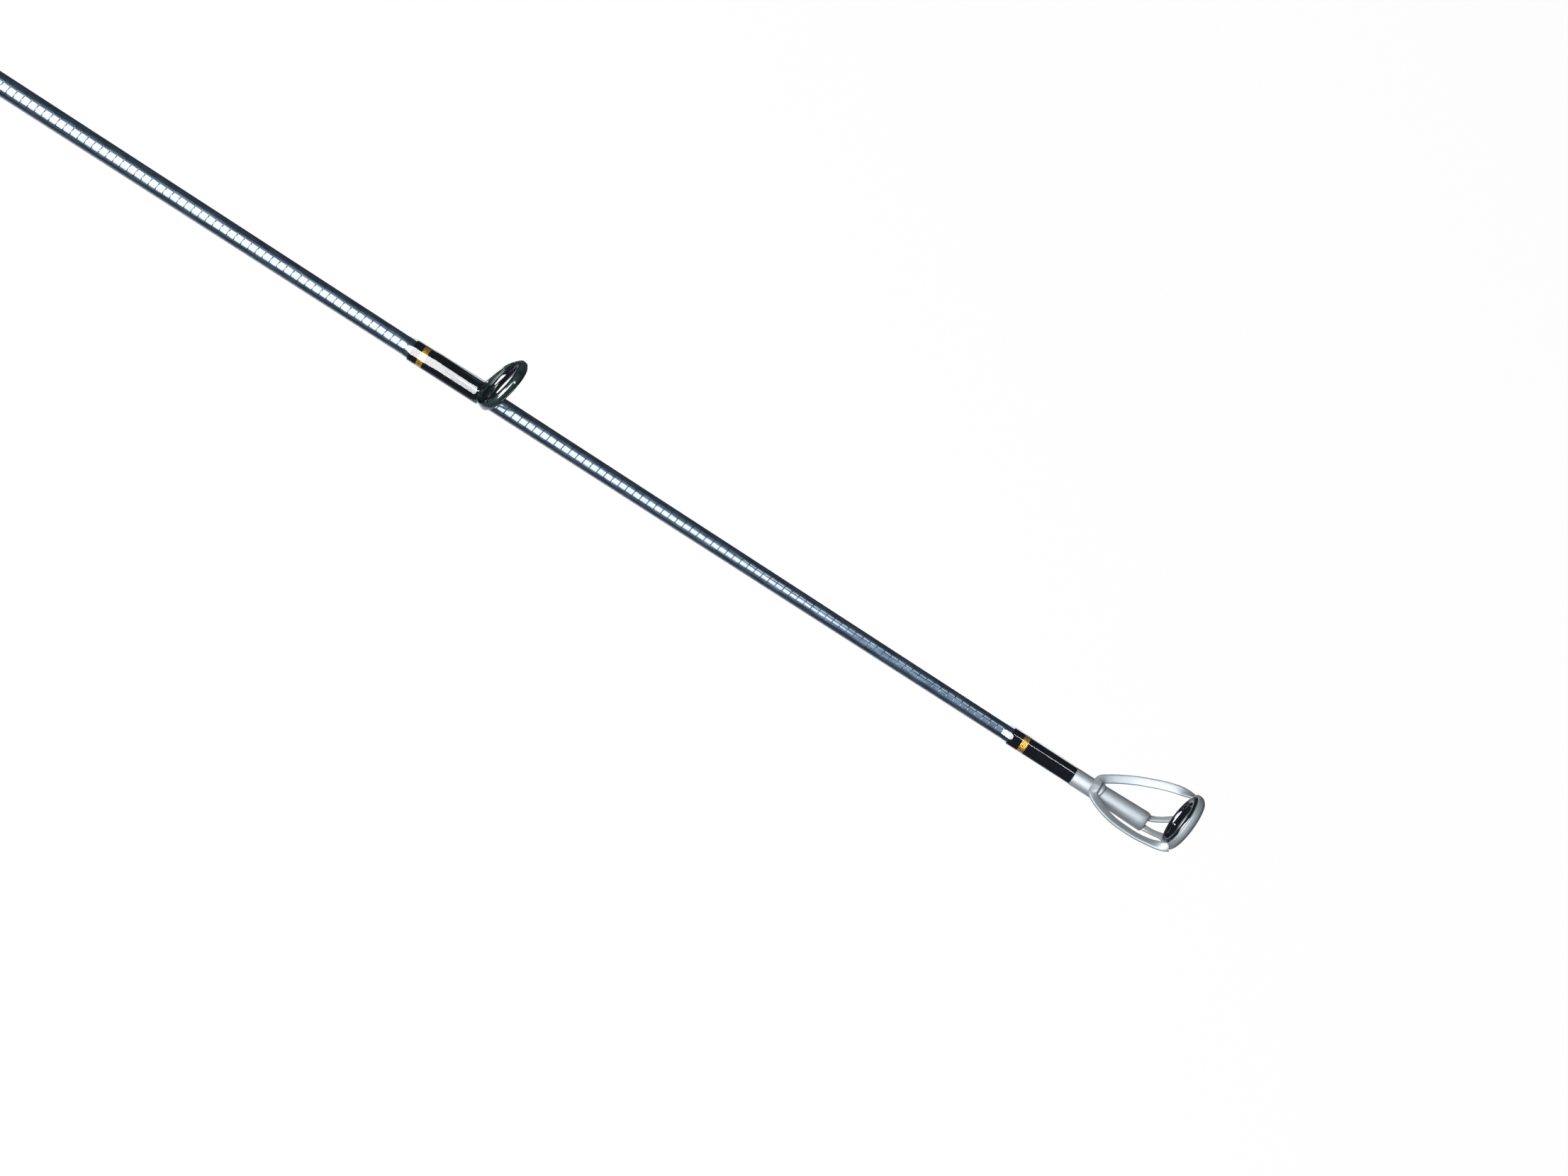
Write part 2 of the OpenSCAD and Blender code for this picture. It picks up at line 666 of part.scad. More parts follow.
module fore_grip() {
    steps = 12;
    side = [for (i = [0 : steps]) [fore_r + (barrel_r + 0.6 - fore_r) * (1 + cos(180 * i / steps)) / 2,
        fore_start + 1.2 + (fore_length - 2) * i / steps]];
    color(EVA) turned(concat([[blank_r(fore_start), fore_start], [barrel_r - 0.6, fore_start]], side,
        [[fore_r - 0.8, fore_end], [blank_r(fore_end), fore_end]]));
}

module winding_check() {
    color(GOLD) blank_collar(fore_end, check_end, fore_r - 0.2, blank_r(check_end) + 0.9, 0.5);
}

/* Hook keeper */

module keeper_foot() {
    reach = keeper_foot_length + 2;
    r = blank_r(keeper_x);
    color(METAL) difference() {
        union() {
            translate([keeper_x, 0, 0]) side_plate([[-reach, 0], [-reach, -r - 0.2], [-2, -r - keeper_foot_h],
                [2, -r - keeper_foot_h], [reach, -r - 0.2], [reach, 0]], keeper_foot_wide);
            translate([keeper_x, 0, pivot_z]) rotate([90, 0, 0])
                cylinder(h = 2 * ear_half, r = ear_r, center = true);
            translate([keeper_x - ear_r, -ear_half, pivot_z]) cube([2 * ear_r, 2 * ear_half, -pivot_z]);
        }
        translate([keeper_x, 0, pivot_z]) rotate([90, 0, 0])
            cylinder(h = 4 * ear_half, r = wire_r + pin_play, center = true);
        blank_solid(keeper_x - 30, keeper_x + 30, foot_clear);
    }
}

module keeper_wrap() {
    r = blank_r(keeper_x);
    color(THREAD) for (side = [-1, 1]) difference() {
        near = keeper_x + side * 2.4;
        far = keeper_x + side * (keeper_foot_length + 3.5);
        x0 = min(near, far);
        x1 = max(near, far);
        turned([[0, x0], [r + keeper_wrap_thick, x0], [r + keeper_wrap_thick, x1], [0, x1]]);
        blank_solid(keeper_x - 30, keeper_x + 30);
        keeper_foot();
    }
}

module keeper_loop() {
    color("#8b9094") translate([keeper_x, 0, pivot_z]) {
        rotate([90, 0, 0]) cylinder(h = 2 * loop_half, r = wire_r, center = true);
        for (side = [-1, 1]) {
            translate([0, side * loop_half, 0]) sphere(wire_r);
            translate([0, side * loop_half, -loop_straight]) cylinder(h = loop_straight, r = wire_r);
        }
        translate([0, 0, -loop_straight]) rotate([0, 90, 0]) rotate([0, 0, -90])
            rotate_extrude(angle = 180) translate([loop_half, 0]) circle(wire_r);
    }
}

blank_tube(tip_blank_start, blank_end);  // tip_blank
blank_tube(blank_start, butt_blank_end);  // butt_blank
ferrule_spigot();
for (n = [1 : GUIDES]) {
    guide_frame(n);
    guide_ring(n);
    guide_wrap(n);
    guide_trim(n);
    guide_epoxy(n);
}
tiptop_tube();
tiptop_frame();
tiptop_ring();
tiptop_wrap();
tiptop_trim();
tiptop_epoxy();
ferrule_part("wrap", 1);  // ferrule_tip_wrap
ferrule_part("trim", 1);  // ferrule_tip_trim
ferrule_part("epoxy", 1);  // ferrule_tip_epoxy
ferrule_part("wrap", -1);  // ferrule_butt_wrap
ferrule_part("trim", -1);  // ferrule_butt_trim
ferrule_part("epoxy", -1);  // ferrule_butt_epoxy
butt_cap();
butt_trim();
rear_grip();
rear_check();
seat_arbor();
reel_seat();
fixed_hood();
moving_hood();
locking_nut();
nut_sleeve();
fore_grip();
winding_check();
keeper_foot();
keeper_wrap();
keeper_loop();
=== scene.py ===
"""Visual model of a two-piece casting rod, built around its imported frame.

The frame gives every place and every main size. This script adds what the frame leaves plain: the tape
ridges of the blank, the single turns of thread and the epoxy over them, the rolled metal of the guides,
the bent strip of the tip top, the knurls of the locking nut, and every finish.
All lengths are in metres, and X runs along the rod from the butt to the tip.
"""

from __future__ import annotations

import logging
import math
from collections.abc import Callable, Sequence
from dataclasses import dataclass
from enum import Enum

import bmesh
import bpy
from mathutils import Matrix, Vector


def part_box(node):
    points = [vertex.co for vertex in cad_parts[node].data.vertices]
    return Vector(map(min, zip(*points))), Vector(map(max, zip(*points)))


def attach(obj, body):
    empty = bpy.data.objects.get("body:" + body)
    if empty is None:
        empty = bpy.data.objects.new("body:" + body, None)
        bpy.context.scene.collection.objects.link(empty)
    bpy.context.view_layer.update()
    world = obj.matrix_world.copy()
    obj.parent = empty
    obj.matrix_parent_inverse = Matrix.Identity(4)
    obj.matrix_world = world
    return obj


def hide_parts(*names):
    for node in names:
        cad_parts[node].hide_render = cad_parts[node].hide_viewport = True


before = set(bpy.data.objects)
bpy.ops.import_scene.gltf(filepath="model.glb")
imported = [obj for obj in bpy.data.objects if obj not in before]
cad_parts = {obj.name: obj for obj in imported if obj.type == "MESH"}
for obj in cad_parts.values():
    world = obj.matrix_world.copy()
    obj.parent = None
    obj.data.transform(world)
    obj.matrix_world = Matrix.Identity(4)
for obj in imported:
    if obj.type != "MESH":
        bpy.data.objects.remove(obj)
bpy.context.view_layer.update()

LOG = logging.getLogger("rod")
MM = 0.001
TURN = 2 * math.pi
MERGE = 1e-7
GUIDES = 6

Points = Sequence[tuple[float, float]]
Colour = tuple[float, float, float, float]


class Body(Enum):
    """The parts of the rod that move on their own."""

    BUTT = "butt_section"
    TIP = "tip_section"
    HOOD = "moving_hood"
    NUT = "nut"
    KEEPER = "keeper"


class Slot(Enum):
    """The finishes that the rod's record names."""

    BLANK = "blank"
    SPIGOT = "spigot"
    GUIDE_FRAME = "guide_frame"
    CERAMIC = "ceramic"
    THREAD = "thread"
    GOLD_THREAD = "gold_thread"
    EPOXY = "epoxy"
    TIP_METAL = "tip_metal"
    CAP_RUBBER = "cap_rubber"
    FOAM = "foam"
    ARBOR = "arbor"
    SEAT_PLASTIC = "seat_plastic"
    HOOD_METAL = "hood_metal"
    KEEPER_METAL = "keeper_metal"
    GOLD_METAL = "gold_metal"


# ---------------------------------------------------------------------------------------------
# Shading
# ---------------------------------------------------------------------------------------------


class Value:
    """A number that flows through a node tree. Arithmetic on it adds Math nodes."""

    def __init__(self, graph: Graph, socket: bpy.types.NodeSocket) -> None:
        """Holds an output socket.

        Args:
            graph: The graph that the socket is in.
            socket: The output that carries the number.
        """
        self.graph = graph
        self.socket = socket

    def _math(self, operation: str, *parts: Value | float) -> Value:
        """Adds one Math node.

        Args:
            operation: The node's operation.
            parts: Its inputs, in order.

        Returns:
            The node's result.
        """
        node = self.graph.node("ShaderNodeMath", {"operation": operation}, dict(enumerate(parts)))
        return Value(self.graph, node.outputs[0])

    def __add__(self, other: Value | float) -> Value:
        """The sum."""
        return self._math("ADD", self, other)

    def __sub__(self, other: Value | float) -> Value:
        """The difference."""
        return self._math("SUBTRACT", self, other)

    def __rsub__(self, other: float) -> Value:
        """A number less this value."""
        return self._math("SUBTRACT", other, self)

    def __mul__(self, other: Value | float) -> Value:
        """The product."""
        return self._math("MULTIPLY", self, other)

    __radd__ = __add__
    __rmul__ = __mul__

    def between(self, low: float, high: float) -> Value:
        """Maps low..high smoothly to 0..1, and holds it there outside.

        Args:
            low: The value that gives 0.
            high: The value that gives 1.

        Returns:
            The mapped value.
        """
        node = self.graph.node(
            "ShaderNodeMapRange",
            {"interpolation_type": "SMOOTHSTEP"},
            {"Value": self, "From Min": low, "From Max": high},
        )
        return Value(self.graph, node.outputs[0])


class Graph:
    """The node tree of one material or of the world."""

    def __init__(self, tree: bpy.types.NodeTree) -> None:
        """Clears a tree to build on.

        Args:
            tree: The tree to fill.
        """
        self.tree = tree
        tree.nodes.clear()

    def node(
        self, kind: str, settings: dict | None = None, sockets: dict | None = None
    ) -> bpy.types.Node:
        """Makes a node, sets it up, and fills its inputs.

        Args:
            kind: The node's type.
            settings: Attributes that are set first.
            sockets: Input names or numbers, each with a constant, a Value or an output socket.

        Returns:
            The node.
        """
        made = self.tree.nodes.new(kind)
        for name, value in (settings or {}).items():
            setattr(made, name, value)
        for name, value in (sockets or {}).items():
            if isinstance(value, Value):
                value = value.socket
            if isinstance(value, bpy.types.NodeSocket):
                self.tree.links.new(value, made.inputs[name])
            else:
                made.inputs[name].default_value = value
        return made

    def place(self, stretch: Sequence[float] = (1, 1, 1)) -> bpy.types.NodeSocket:
        """Object coordinates, scaled along each axis.

        Args:
            stretch: The scale along X, Y and Z.

        Returns:
            The coordinates.
        """
        sockets = {
            "Vector": self.node("ShaderNodeTexCoord").outputs["Object"],
            "Scale": tuple(stretch),
        }
        return self.node("ShaderNodeMapping", None, sockets).outputs[0]

    def noise(self, size: float, detail: float = 2.0, stretch: Sequence[float] = (1, 1, 1)) -> Value:
        """Soft random variation between about 0.2 and 0.8.

        Args:
            size: The size of its features, in metres.
            detail: How many finer layers it has.
            stretch: The pattern's density along each axis.

        Returns:
            The variation.
        """
        sockets = {"Vector": self.place(stretch), "Scale": 1 / size, "Detail": detail}
        return Value(self, self.node("ShaderNodeTexNoise", None, sockets).outputs[0])

    def cells(self, size: float) -> Value:
        """Distance to the nearest of many random points.

        Args:
            size: The usual distance between them, in metres.

        Returns:
            The distance, as a share of the size.
        """
        sockets = {"Vector": self.place(), "Scale": 1 / size}
        return Value(self, self.node("ShaderNodeTexVoronoi", None, sockets).outputs["Distance"])

    def mix(self, factor: Value | float, first: Colour, second: Colour) -> bpy.types.NodeSocket:
        """Blends two colours.

        Args:
            factor: 0 gives the first colour, 1 the second.
            first: A colour, or the socket of one.
            second: A colour, or the socket of one.

        Returns:
            The blended colour.
        """
        node = self.node("ShaderNodeMix", {"data_type": "RGBA"}, {0: factor, 6: first, 7: second})
        return node.outputs[2]

    def bump(self, height: Value, depth: float, strength: float = 1.0) -> bpy.types.NodeSocket:
        """A normal tilted by a height.

        Args:
            height: The height, from 0 to 1.
            depth: What a height of 1 stands for, in metres.
            strength: How much of the tilt is kept.

        Returns:
            The normal.
        """
        sockets = {"Strength": strength, "Distance": depth, "Height": height}
        return self.node("ShaderNodeBump", None, sockets).outputs[0]

    def surface(self, shader: bpy.types.Node) -> None:
        """Makes a shader the tree's surface.

        Args:
            shader: The node whose first output is shown.
        """
        self.node("ShaderNodeOutputMaterial", None, {"Surface": shader.outputs[0]})

    def principled(self, **sockets: object) -> bpy.types.Node:
        """A Principled shader.

        Args:
            sockets: Its inputs, with underscores for the spaces in their names.

        Returns:
            The shader.
        """
        named = {name.replace("_", " "): value for name, value in sockets.items()}
        return self.node("ShaderNodeBsdfPrincipled", None, named)


def rgb(red: float, green: float, blue: float) -> Colour:
    """A solid colour, in linear light."""
    return (red, green, blue, 1.0)


@dataclass(frozen=True)
class Finish:
    """What one surface of the rod is made of."""

    slot: Slot

    def shade(self, graph: Graph) -> bpy.types.Node:
        """Makes the finish's nodes.

        Args:
            graph: The node tree to fill.

        Returns:
            The finish's shader.
        """
        raise NotImplementedError

    def material(self) -> bpy.types.Material:
        """The finish's material, made when it is first asked for.

        Returns:
            The material.
        """
        name = f"{self.slot.value}_finish"
        made = bpy.data.materials.get(name)
        if made is None:
            made = bpy.data.materials.new(name)
            made.use_nodes = True
            graph = Graph(made.node_tree)
            graph.surface(self.shade(graph))
        return made


@dataclass(frozen=True)
class BlankFinish(Finish):
    """Clear-coated carbon, left unsanded: dark navy with faint fibres under the gloss."""

    slot: Slot = Slot.BLANK
    deep: Colour = rgb(0.034, 0.056, 0.085)
    fibre: Colour = rgb(0.085, 0.125, 0.175)
    fibre_size: float = 0.3 * MM

    def shade(self, graph: Graph) -> bpy.types.Node:
        """Makes the finish's nodes.

        Args:
            graph: The node tree to fill.

        Returns:
            The finish's shader.
        """
        fibres = graph.noise(self.fibre_size, 3.0, (0.12, 1, 1))
        return graph.principled(
            Base_Color=graph.mix(fibres.between(0.35, 0.7), self.deep, self.fibre),
            Metallic=0.8,
            Roughness=fibres * 0.1 + 0.31,
            Coat_Weight=1.0,
            Coat_Roughness=0.03,
            Coat_IOR=1.7,
        )


@dataclass(frozen=True)
class SpigotFinish(Finish):
    """Ground carbon: satin, with fine marks round it."""

    slot: Slot = Slot.SPIGOT

    def shade(self, graph: Graph) -> bpy.types.Node:
        """Makes the finish's nodes.

        Args:
            graph: The node tree to fill.

        Returns:
            The finish's shader.
        """
        marks = graph.noise(0.25 * MM, 3.0, (1, 0.05, 0.05))
        return graph.principled(
            Base_Color=graph.mix(marks, rgb(0.016, 0.017, 0.020), rgb(0.05, 0.052, 0.058)),
            Roughness=marks * 0.25 + 0.4,
            Normal=graph.bump(marks, 0.01 * MM),
        )


@dataclass(frozen=True)
class ThreadFinish(Finish):
    """Nylon thread soaked in epoxy."""

    slot: Slot = Slot.THREAD
    dark: Colour = rgb(0.0004, 0.0004, 0.0006)
    light: Colour = rgb(0.0018, 0.0018, 0.0026)

    def shade(self, graph: Graph) -> bpy.types.Node:
        """Makes the finish's nodes.

        Args:
            graph: The node tree to fill.

        Returns:
            The finish's shader.
        """
        plies = graph.noise(0.12 * MM, 2.0, (0.4, 1, 1))
        return graph.principled(
            Base_Color=graph.mix(plies, self.dark, self.light),
            Roughness=plies * 0.2 + 0.6,
            Specular_IOR_Level=0.03,
            Normal=graph.bump(plies, 0.02 * MM),
        )


@dataclass(frozen=True)
class GoldThreadFinish(Finish):
    """Metallic thread in random patches of bright gold and dark amber: painted highlights and painted
    shade.
    """

    slot: Slot = Slot.GOLD_THREAD
    shaded_amber: Colour = rgb(0.30, 0.085, 0.008)
    gold: Colour = rgb(0.95, 0.60, 0.10)

    def shade(self, graph: Graph) -> bpy.types.Node:
        """Makes the finish's nodes.

        Args:
            graph: The node tree to fill.

        Returns:
            The finish's shader.
        """
        foil_and_sheen = graph.noise(0.16 * MM, 2.0, (2.0, 1, 1))
        # Painted highlights and painted shade: noise mixes dark amber and bright gold in random patches,
        # standing for the light on the turns.
        return graph.principled(
            Base_Color=graph.mix(foil_and_sheen.between(0.36, 0.6), self.shaded_amber, self.gold),
            Metallic=0.85,
            Roughness=foil_and_sheen * 0.25 + 0.18,
            Normal=graph.bump(foil_and_sheen, 0.03 * MM),
        )


@dataclass(frozen=True)
class EpoxyFinish(Finish):
    """Clear gloss epoxy: a mirror skin over a faintly milky film."""

    slot: Slot = Slot.EPOXY
    film: float = 0.012
    mirror_ior: float = 1.85

    def shade(self, graph: Graph) -> bpy.types.Node:
        """Makes the finish's nodes.

        Args:
            graph: The node tree to fill.

        Returns:
            The finish's shader.
        """
        waves = graph.noise(3.0 * MM, 0.0)
        normal = graph.bump(waves, 0.015 * MM)
        clear = graph.node("ShaderNodeBsdfTransparent", None, {"Color": rgb(0.97, 0.98, 1.0)})
        milk = graph.node("ShaderNodeBsdfDiffuse", None, {"Color": rgb(0.13, 0.17, 0.24)})
        skin = {"Color": rgb(1, 1, 1), "Roughness": 0.03, "Normal": normal}
        gloss = graph.node("ShaderNodeBsdfAnisotropic", None, skin)
        fresnel = graph.node("ShaderNodeFresnel", None, {"IOR": self.mirror_ior, "Normal": normal})
        inside = Value(graph, graph.node("ShaderNodeNewGeometry").outputs["Backfacing"])
        outer = Value(graph, fresnel.outputs[0]) * (1 - inside)
        film = (1 - inside) * self.film
        layers = {0: film, 1: clear.outputs[0], 2: milk.outputs[0]}
        body = graph.node("ShaderNodeMixShader", None, layers)
        layers = {0: outer, 1: body.outputs[0], 2: gloss.outputs[0]}
        return graph.node("ShaderNodeMixShader", None, layers)


@dataclass(frozen=True)
class GuideFrameFinish(Finish):
    """Glossy plating on stamped steel: almost black, with a green cast."""

    slot: Slot = Slot.GUIDE_FRAME
    shadow: Colour = rgb(0.003, 0.008, 0.008)
    plating: Colour = rgb(0.015, 0.040, 0.037)

    def shade(self, graph: Graph) -> bpy.types.Node:
        """Makes the finish's nodes.

        Args:
            graph: The node tree to fill.

        Returns:
            The finish's shader.
        """
        cloud = graph.noise(1.6 * MM, 3.0)
        orange_peel = graph.noise(0.8 * MM, 1.0)
        return graph.principled(
            Base_Color=graph.mix(cloud.between(0.3, 0.7), self.shadow, self.plating),
            Metallic=0.4,
            Roughness=cloud * 0.16 + 0.2,
            Coat_Weight=1.0,
            Coat_Roughness=0.02,
            Coat_IOR=2.1,
            Normal=graph.bump(orange_peel, 0.006 * MM),
        )


@dataclass(frozen=True)
class CeramicFinish(Finish):
    """Polished black ceramic."""

    slot: Slot = Slot.CERAMIC

    def shade(self, graph: Graph) -> bpy.types.Node:
        """Makes the finish's nodes.

        Args:
            graph: The node tree to fill.

        Returns:
            The finish's shader.
        """
        polish = graph.noise(0.5 * MM, 2.0)
        return graph.principled(
            Base_Color=graph.mix(polish, rgb(0.0008, 0.0012, 0.003), rgb(0.003, 0.004, 0.008)),
            Roughness=polish * 0.03 + 0.03,
            IOR=2.1,
        )


@dataclass(frozen=True)
class TipMetalFinish(Finish):
    """Bead-blasted stainless steel: satin, with a fine grain."""

    slot: Slot = Slot.TIP_METAL
    light: Colour = rgb(0.315, 0.342, 0.362)
    dark: Colour = rgb(0.245, 0.272, 0.29)

    def shade(self, graph: Graph) -> bpy.types.Node:
        """Makes the finish's nodes.

        Args:
            graph: The node tree to fill.

        Returns:
            The finish's shader.
        """
        grain = graph.noise(0.07 * MM, 3.0)
        patches = graph.noise(1.3 * MM, 2.0)
        return graph.principled(
            Base_Color=graph.mix(grain * 0.5 + patches * 0.5, self.dark, self.light),
            Metallic=0.6,
            Roughness=patches * 0.12 + 0.46,
            Normal=graph.bump(grain, 0.002 * MM),
        )


@dataclass(frozen=True)
class RubberFinish(Finish):
    """Matte moulded rubber."""

    slot: Slot = Slot.CAP_RUBBER
    clean: Colour = rgb(0.009, 0.009, 0.010)
    worn: Colour = rgb(0.03, 0.03, 0.031)

    def shade(self, graph: Graph) -> bpy.types.Node:
        """Makes the finish's nodes.

        Args:
            graph: The node tree to fill.

        Returns:
            The finish's shader.
        """
        mould = graph.noise(0.5 * MM, 4.0)
        scuff = graph.noise(6 * MM, 3.0)
        return graph.principled(
            Base_Color=graph.mix(scuff.between(0.45, 0.75), self.clean, self.worn),
            Roughness=mould * 0.2 + 0.6,
            Normal=graph.bump(mould, 0.05 * MM),
        )


@dataclass(frozen=True)
class FoamFinish(Finish):
    """Fine-celled foam, ground to shape: matte, with open cells whose hollows carry painted shade."""

    slot: Slot = Slot.FOAM
    cell: float = 0.42 * MM

    def shade(self, graph: Graph) -> bpy.types.Node:
        """Makes the finish's nodes.

        Args:
            graph: The node tree to fill.

        Returns:
            The finish's shader.
        """
        cells = graph.cells(self.cell)
        hand = graph.noise(14 * MM, 2.0)
        shade = graph.mix(hand, rgb(0.013, 0.013, 0.015), rgb(0.021, 0.021, 0.024))
        # Painted shade: the hollow of each open cell is coloured near black.
        return graph.principled(
            Base_Color=graph.mix(cells.between(0.05, 0.45), rgb(0.008, 0.008, 0.009), shade),
            Roughness=hand * 0.14 + 0.72,
            Normal=graph.bump(cells, 0.02 * MM),
        )


@dataclass(frozen=True)
class ArborFinish(Finish):
    """Rigid tan foam inside the seat, with painted shade in its pores."""

    slot: Slot = Slot.ARBOR

    def shade(self, graph: Graph) -> bpy.types.Node:
        """Makes the finish's nodes.

        Args:
            graph: The node tree to fill.

        Returns:
            The finish's shader.
        """
        pores = graph.cells(0.6 * MM)
        # Painted shade: the tan is darker towards the middle of each pore, where the bump puts the
        # bottom of the pit.
        return graph.principled(
            Base_Color=graph.mix(pores, rgb(0.14, 0.10, 0.06), rgb(0.32, 0.25, 0.16)),
            Roughness=0.9,
            Normal=graph.bump(pores, 0.1 * MM),
        )


@dataclass(frozen=True)
class SeatPlasticFinish(Finish):
    """Fibre-filled nylon, satin from the mould."""

    slot: Slot = Slot.SEAT_PLASTIC
    clean: Colour = rgb(0.010, 0.011, 0.013)
    worn: Colour = rgb(0.022, 0.023, 0.027)

    def shade(self, graph: Graph) -> bpy.types.Node:
        """Makes the finish's nodes.

        Args:
            graph: The node tree to fill.

        Returns:
            The finish's shader.
        """
        mould = graph.noise(0.3 * MM, 3.0)
        wear = graph.noise(9 * MM, 3.0)
        return graph.principled(
            Base_Color=graph.mix(wear.between(0.4, 0.75), self.clean, self.worn),
            Roughness=wear * 0.16 + mould * 0.1 + 0.22,
            Normal=graph.bump(mould, 0.015 * MM),
        )


@dataclass(frozen=True)
class TurnedMetalFinish(Finish):
    """Metal with fine marks round it, as a lathe leaves them."""

    dark: Colour = rgb(0.40, 0.41, 0.42)
    light: Colour = rgb(0.66, 0.67, 0.68)
    gloss: float = 0.22
    mark: float = 0.12 * MM

    def shade(self, graph: Graph) -> bpy.types.Node:
        """Makes the finish's nodes.

        Args:
            graph: The node tree to fill.

        Returns:
            The finish's shader.
        """
        marks = graph.noise(self.mark, 3.0, (1, 0.03, 0.03))
        smear = graph.noise(5 * MM, 2.0)
        return graph.principled(
            Base_Color=graph.mix(marks * 0.6 + smear * 0.4, self.dark, self.light),
            Metallic=1.0,
            Roughness=smear * 0.14 + marks * 0.1 + self.gloss,
            Normal=graph.bump(marks, 0.006 * MM),
        )


@dataclass(frozen=True)
class FloorFinish:
    """A lit white table: plain, pale and even."""

    glow: float = 0.93

    def material(self) -> bpy.types.Material:
        """The floor's material.

        Returns:
            The material.
        """
        made = bpy.data.materials.new("floor_finish")
        made.use_nodes = True
        graph = Graph(made.node_tree)
        shader = graph.principled(
            Base_Color=rgb(0.06, 0.06, 0.06),
            Roughness=0.9,
            Specular_IOR_Level=0.0,
            Emission_Color=rgb(1, 1, 1),
            Emission_Strength=self.glow,
        )
        graph.surface(shader)
        return made


BLANK = BlankFinish()
SPIGOT = SpigotFinish()
THREAD = ThreadFinish()
GOLD_THREAD = GoldThreadFinish()
EPOXY = EpoxyFinish()
GUIDE_METAL = GuideFrameFinish()
CERAMIC = CeramicFinish()
TIP_METAL = TipMetalFinish()
RUBBER = RubberFinish()
FOAM = FoamFinish()
ARBOR = ArborFinish()
SEAT_PLASTIC = SeatPlasticFinish()
HOOD_METAL = TurnedMetalFinish(Slot.HOOD_METAL)
KEEPER_METAL = TurnedMetalFinish(Slot.KEEPER_METAL, rgb(0.30, 0.31, 0.32), rgb(0.5, 0.51, 0.52), 0.2)
GOLD_METAL = TurnedMetalFinish(Slot.GOLD_METAL, rgb(0.62, 0.34, 0.06), rgb(0.86, 0.56, 0.16), 0.18)


# ---------------------------------------------------------------------------------------------
# Mesh tools
# ---------------------------------------------------------------------------------------------


def spun(
    profile: Points, steps: int = 64, pitch: float = 0.0, closed: bool = False
) -> bmesh.types.BMesh:
    """Turns a profile about the X axis.

    Args:
        profile: Points of x and radius.
        steps: How many faces go round.
        pitch: How far each turn moves along X, for a left-handed screw surface. 0 closes the turn.
        closed: Whether the profile's last point joins its first.

    Returns:
        The mesh.
    """
    bm = bmesh.new()
    verts = [bm.verts.new((x, 0, r)) for x, r in profile]
    ends = [*verts[1:], verts[0]] if closed else verts[1:]
    edges = [bm.edges.new(pair) for pair in zip(verts, ends)]
    bmesh.ops.spin(
        bm,
        geom=[*verts, *edges],
        cent=(0, 0, 0),
        axis=(-1, 0, 0),
        dvec=(pitch / steps, 0, 0),
        angle=TURN,
        steps=steps,
        use_merge=pitch == 0,
        use_normal_flip=False,
        use_duplicate=False,
    )
    bmesh.ops.remove_doubles(bm, verts=bm.verts, dist=MERGE)
    bmesh.ops.recalc_face_normals(bm, faces=bm.faces)
    return bm


def unit_section(power: float, count: int) -> list[tuple[float, float]]:
    """Points round a superellipse of half size 1.

    Args:
        power: 2 gives a circle, and more a squarer shape.
        count: How many points.

    Returns:
        The points.
    """

    def reach(value: float) -> float:
        """A cosine or sine, pushed out towards the corners."""
        return math.copysign(abs(value) ** (2 / power), value)

    angles = [TURN * (i + 0.5) / count for i in range(count)]
    return [(reach(math.cos(a)), reach(math.sin(a))) for a in angles]


@dataclass(frozen=True)
class Section:
    """One cut through a swept piece: its centre, its two half sizes as vectors, and its squareness."""

    centre: Vector
    side: Vector
    rise: Vector
    power: float = 2.0


def lofted(sections: Sequence[Section], count: int = 16, closed: bool = False) -> bmesh.types.BMesh:
    """Joins sections into one skin.

    Args:
        sections: The cuts, in order.
        count: How many points each cut has.
        closed: Whether the last cut joins the first.

    Returns:
        The mesh.
    """
    bm = bmesh.new()
    loops = []
    for cut in sections:
        places = [cut.centre + cut.side * a + cut.rise * b for a, b in unit_section(cut.power, count)]
        verts = [bm.verts.new(p) for p in places]
        loops.append([bm.edges.new(pair) for pair in zip(verts, [*verts[1:], verts[0]])])
    following = [*loops[1:], loops[0]] if closed else loops[1:]
    for near, far in zip(loops, following):
        bmesh.ops.bridge_loops(bm, edges=[*near, *far])
    if not closed:
        for loop in (loops[0], loops[-1]):
            bmesh.ops.contextual_create(bm, geom=loop)
    bmesh.ops.recalc_face_normals(bm, faces=bm.faces)
    return bm


def curve(points: Sequence[Sequence[float]], count: int, closed: bool = False) -> list[Vector]:
    """A smooth line through points.

    Args:
        points: The points, each of two or three numbers.
        count: How many steps go between two of them.
        closed: Whether the line comes back to its start.

    Returns:
        The line's points.
    """
    nodes = [Vector(p) for p in points]
    total = len(nodes)
    made = []
    for i in range(total if closed else total - 1):
        if closed:
            a, b, c, d = (nodes[(i + k) % total] for k in (-1, 0, 1, 2))
        else:
            a, b, c, d = (nodes[min(max(i + k, 0), total - 1)] for k in (-1, 0, 1, 2))
        for step in range(count):
            t = step / count
            square = (2 * a - 5 * b + 4 * c - d) * t * t
            cube = (3 * b - a - 3 * c + d) * t**3
            made.append(0.5 * (2 * b + (c - a) * t + square + cube))
    if not closed:
        made.append(nodes[-1])
    return made


def hoop(knots: Points, count: int, sides: int) -> bmesh.types.BMesh:
    """A ring about the X axis with a smooth closed profile.

    Args:
        knots: Points of x and radius that the profile goes through.
        count: How many steps go between two of them.
        sides: How many faces go round.

    Returns:
        The mesh.
    """
    return spun([tuple(p) for p in curve(knots, count, closed=True)], sides, closed=True)


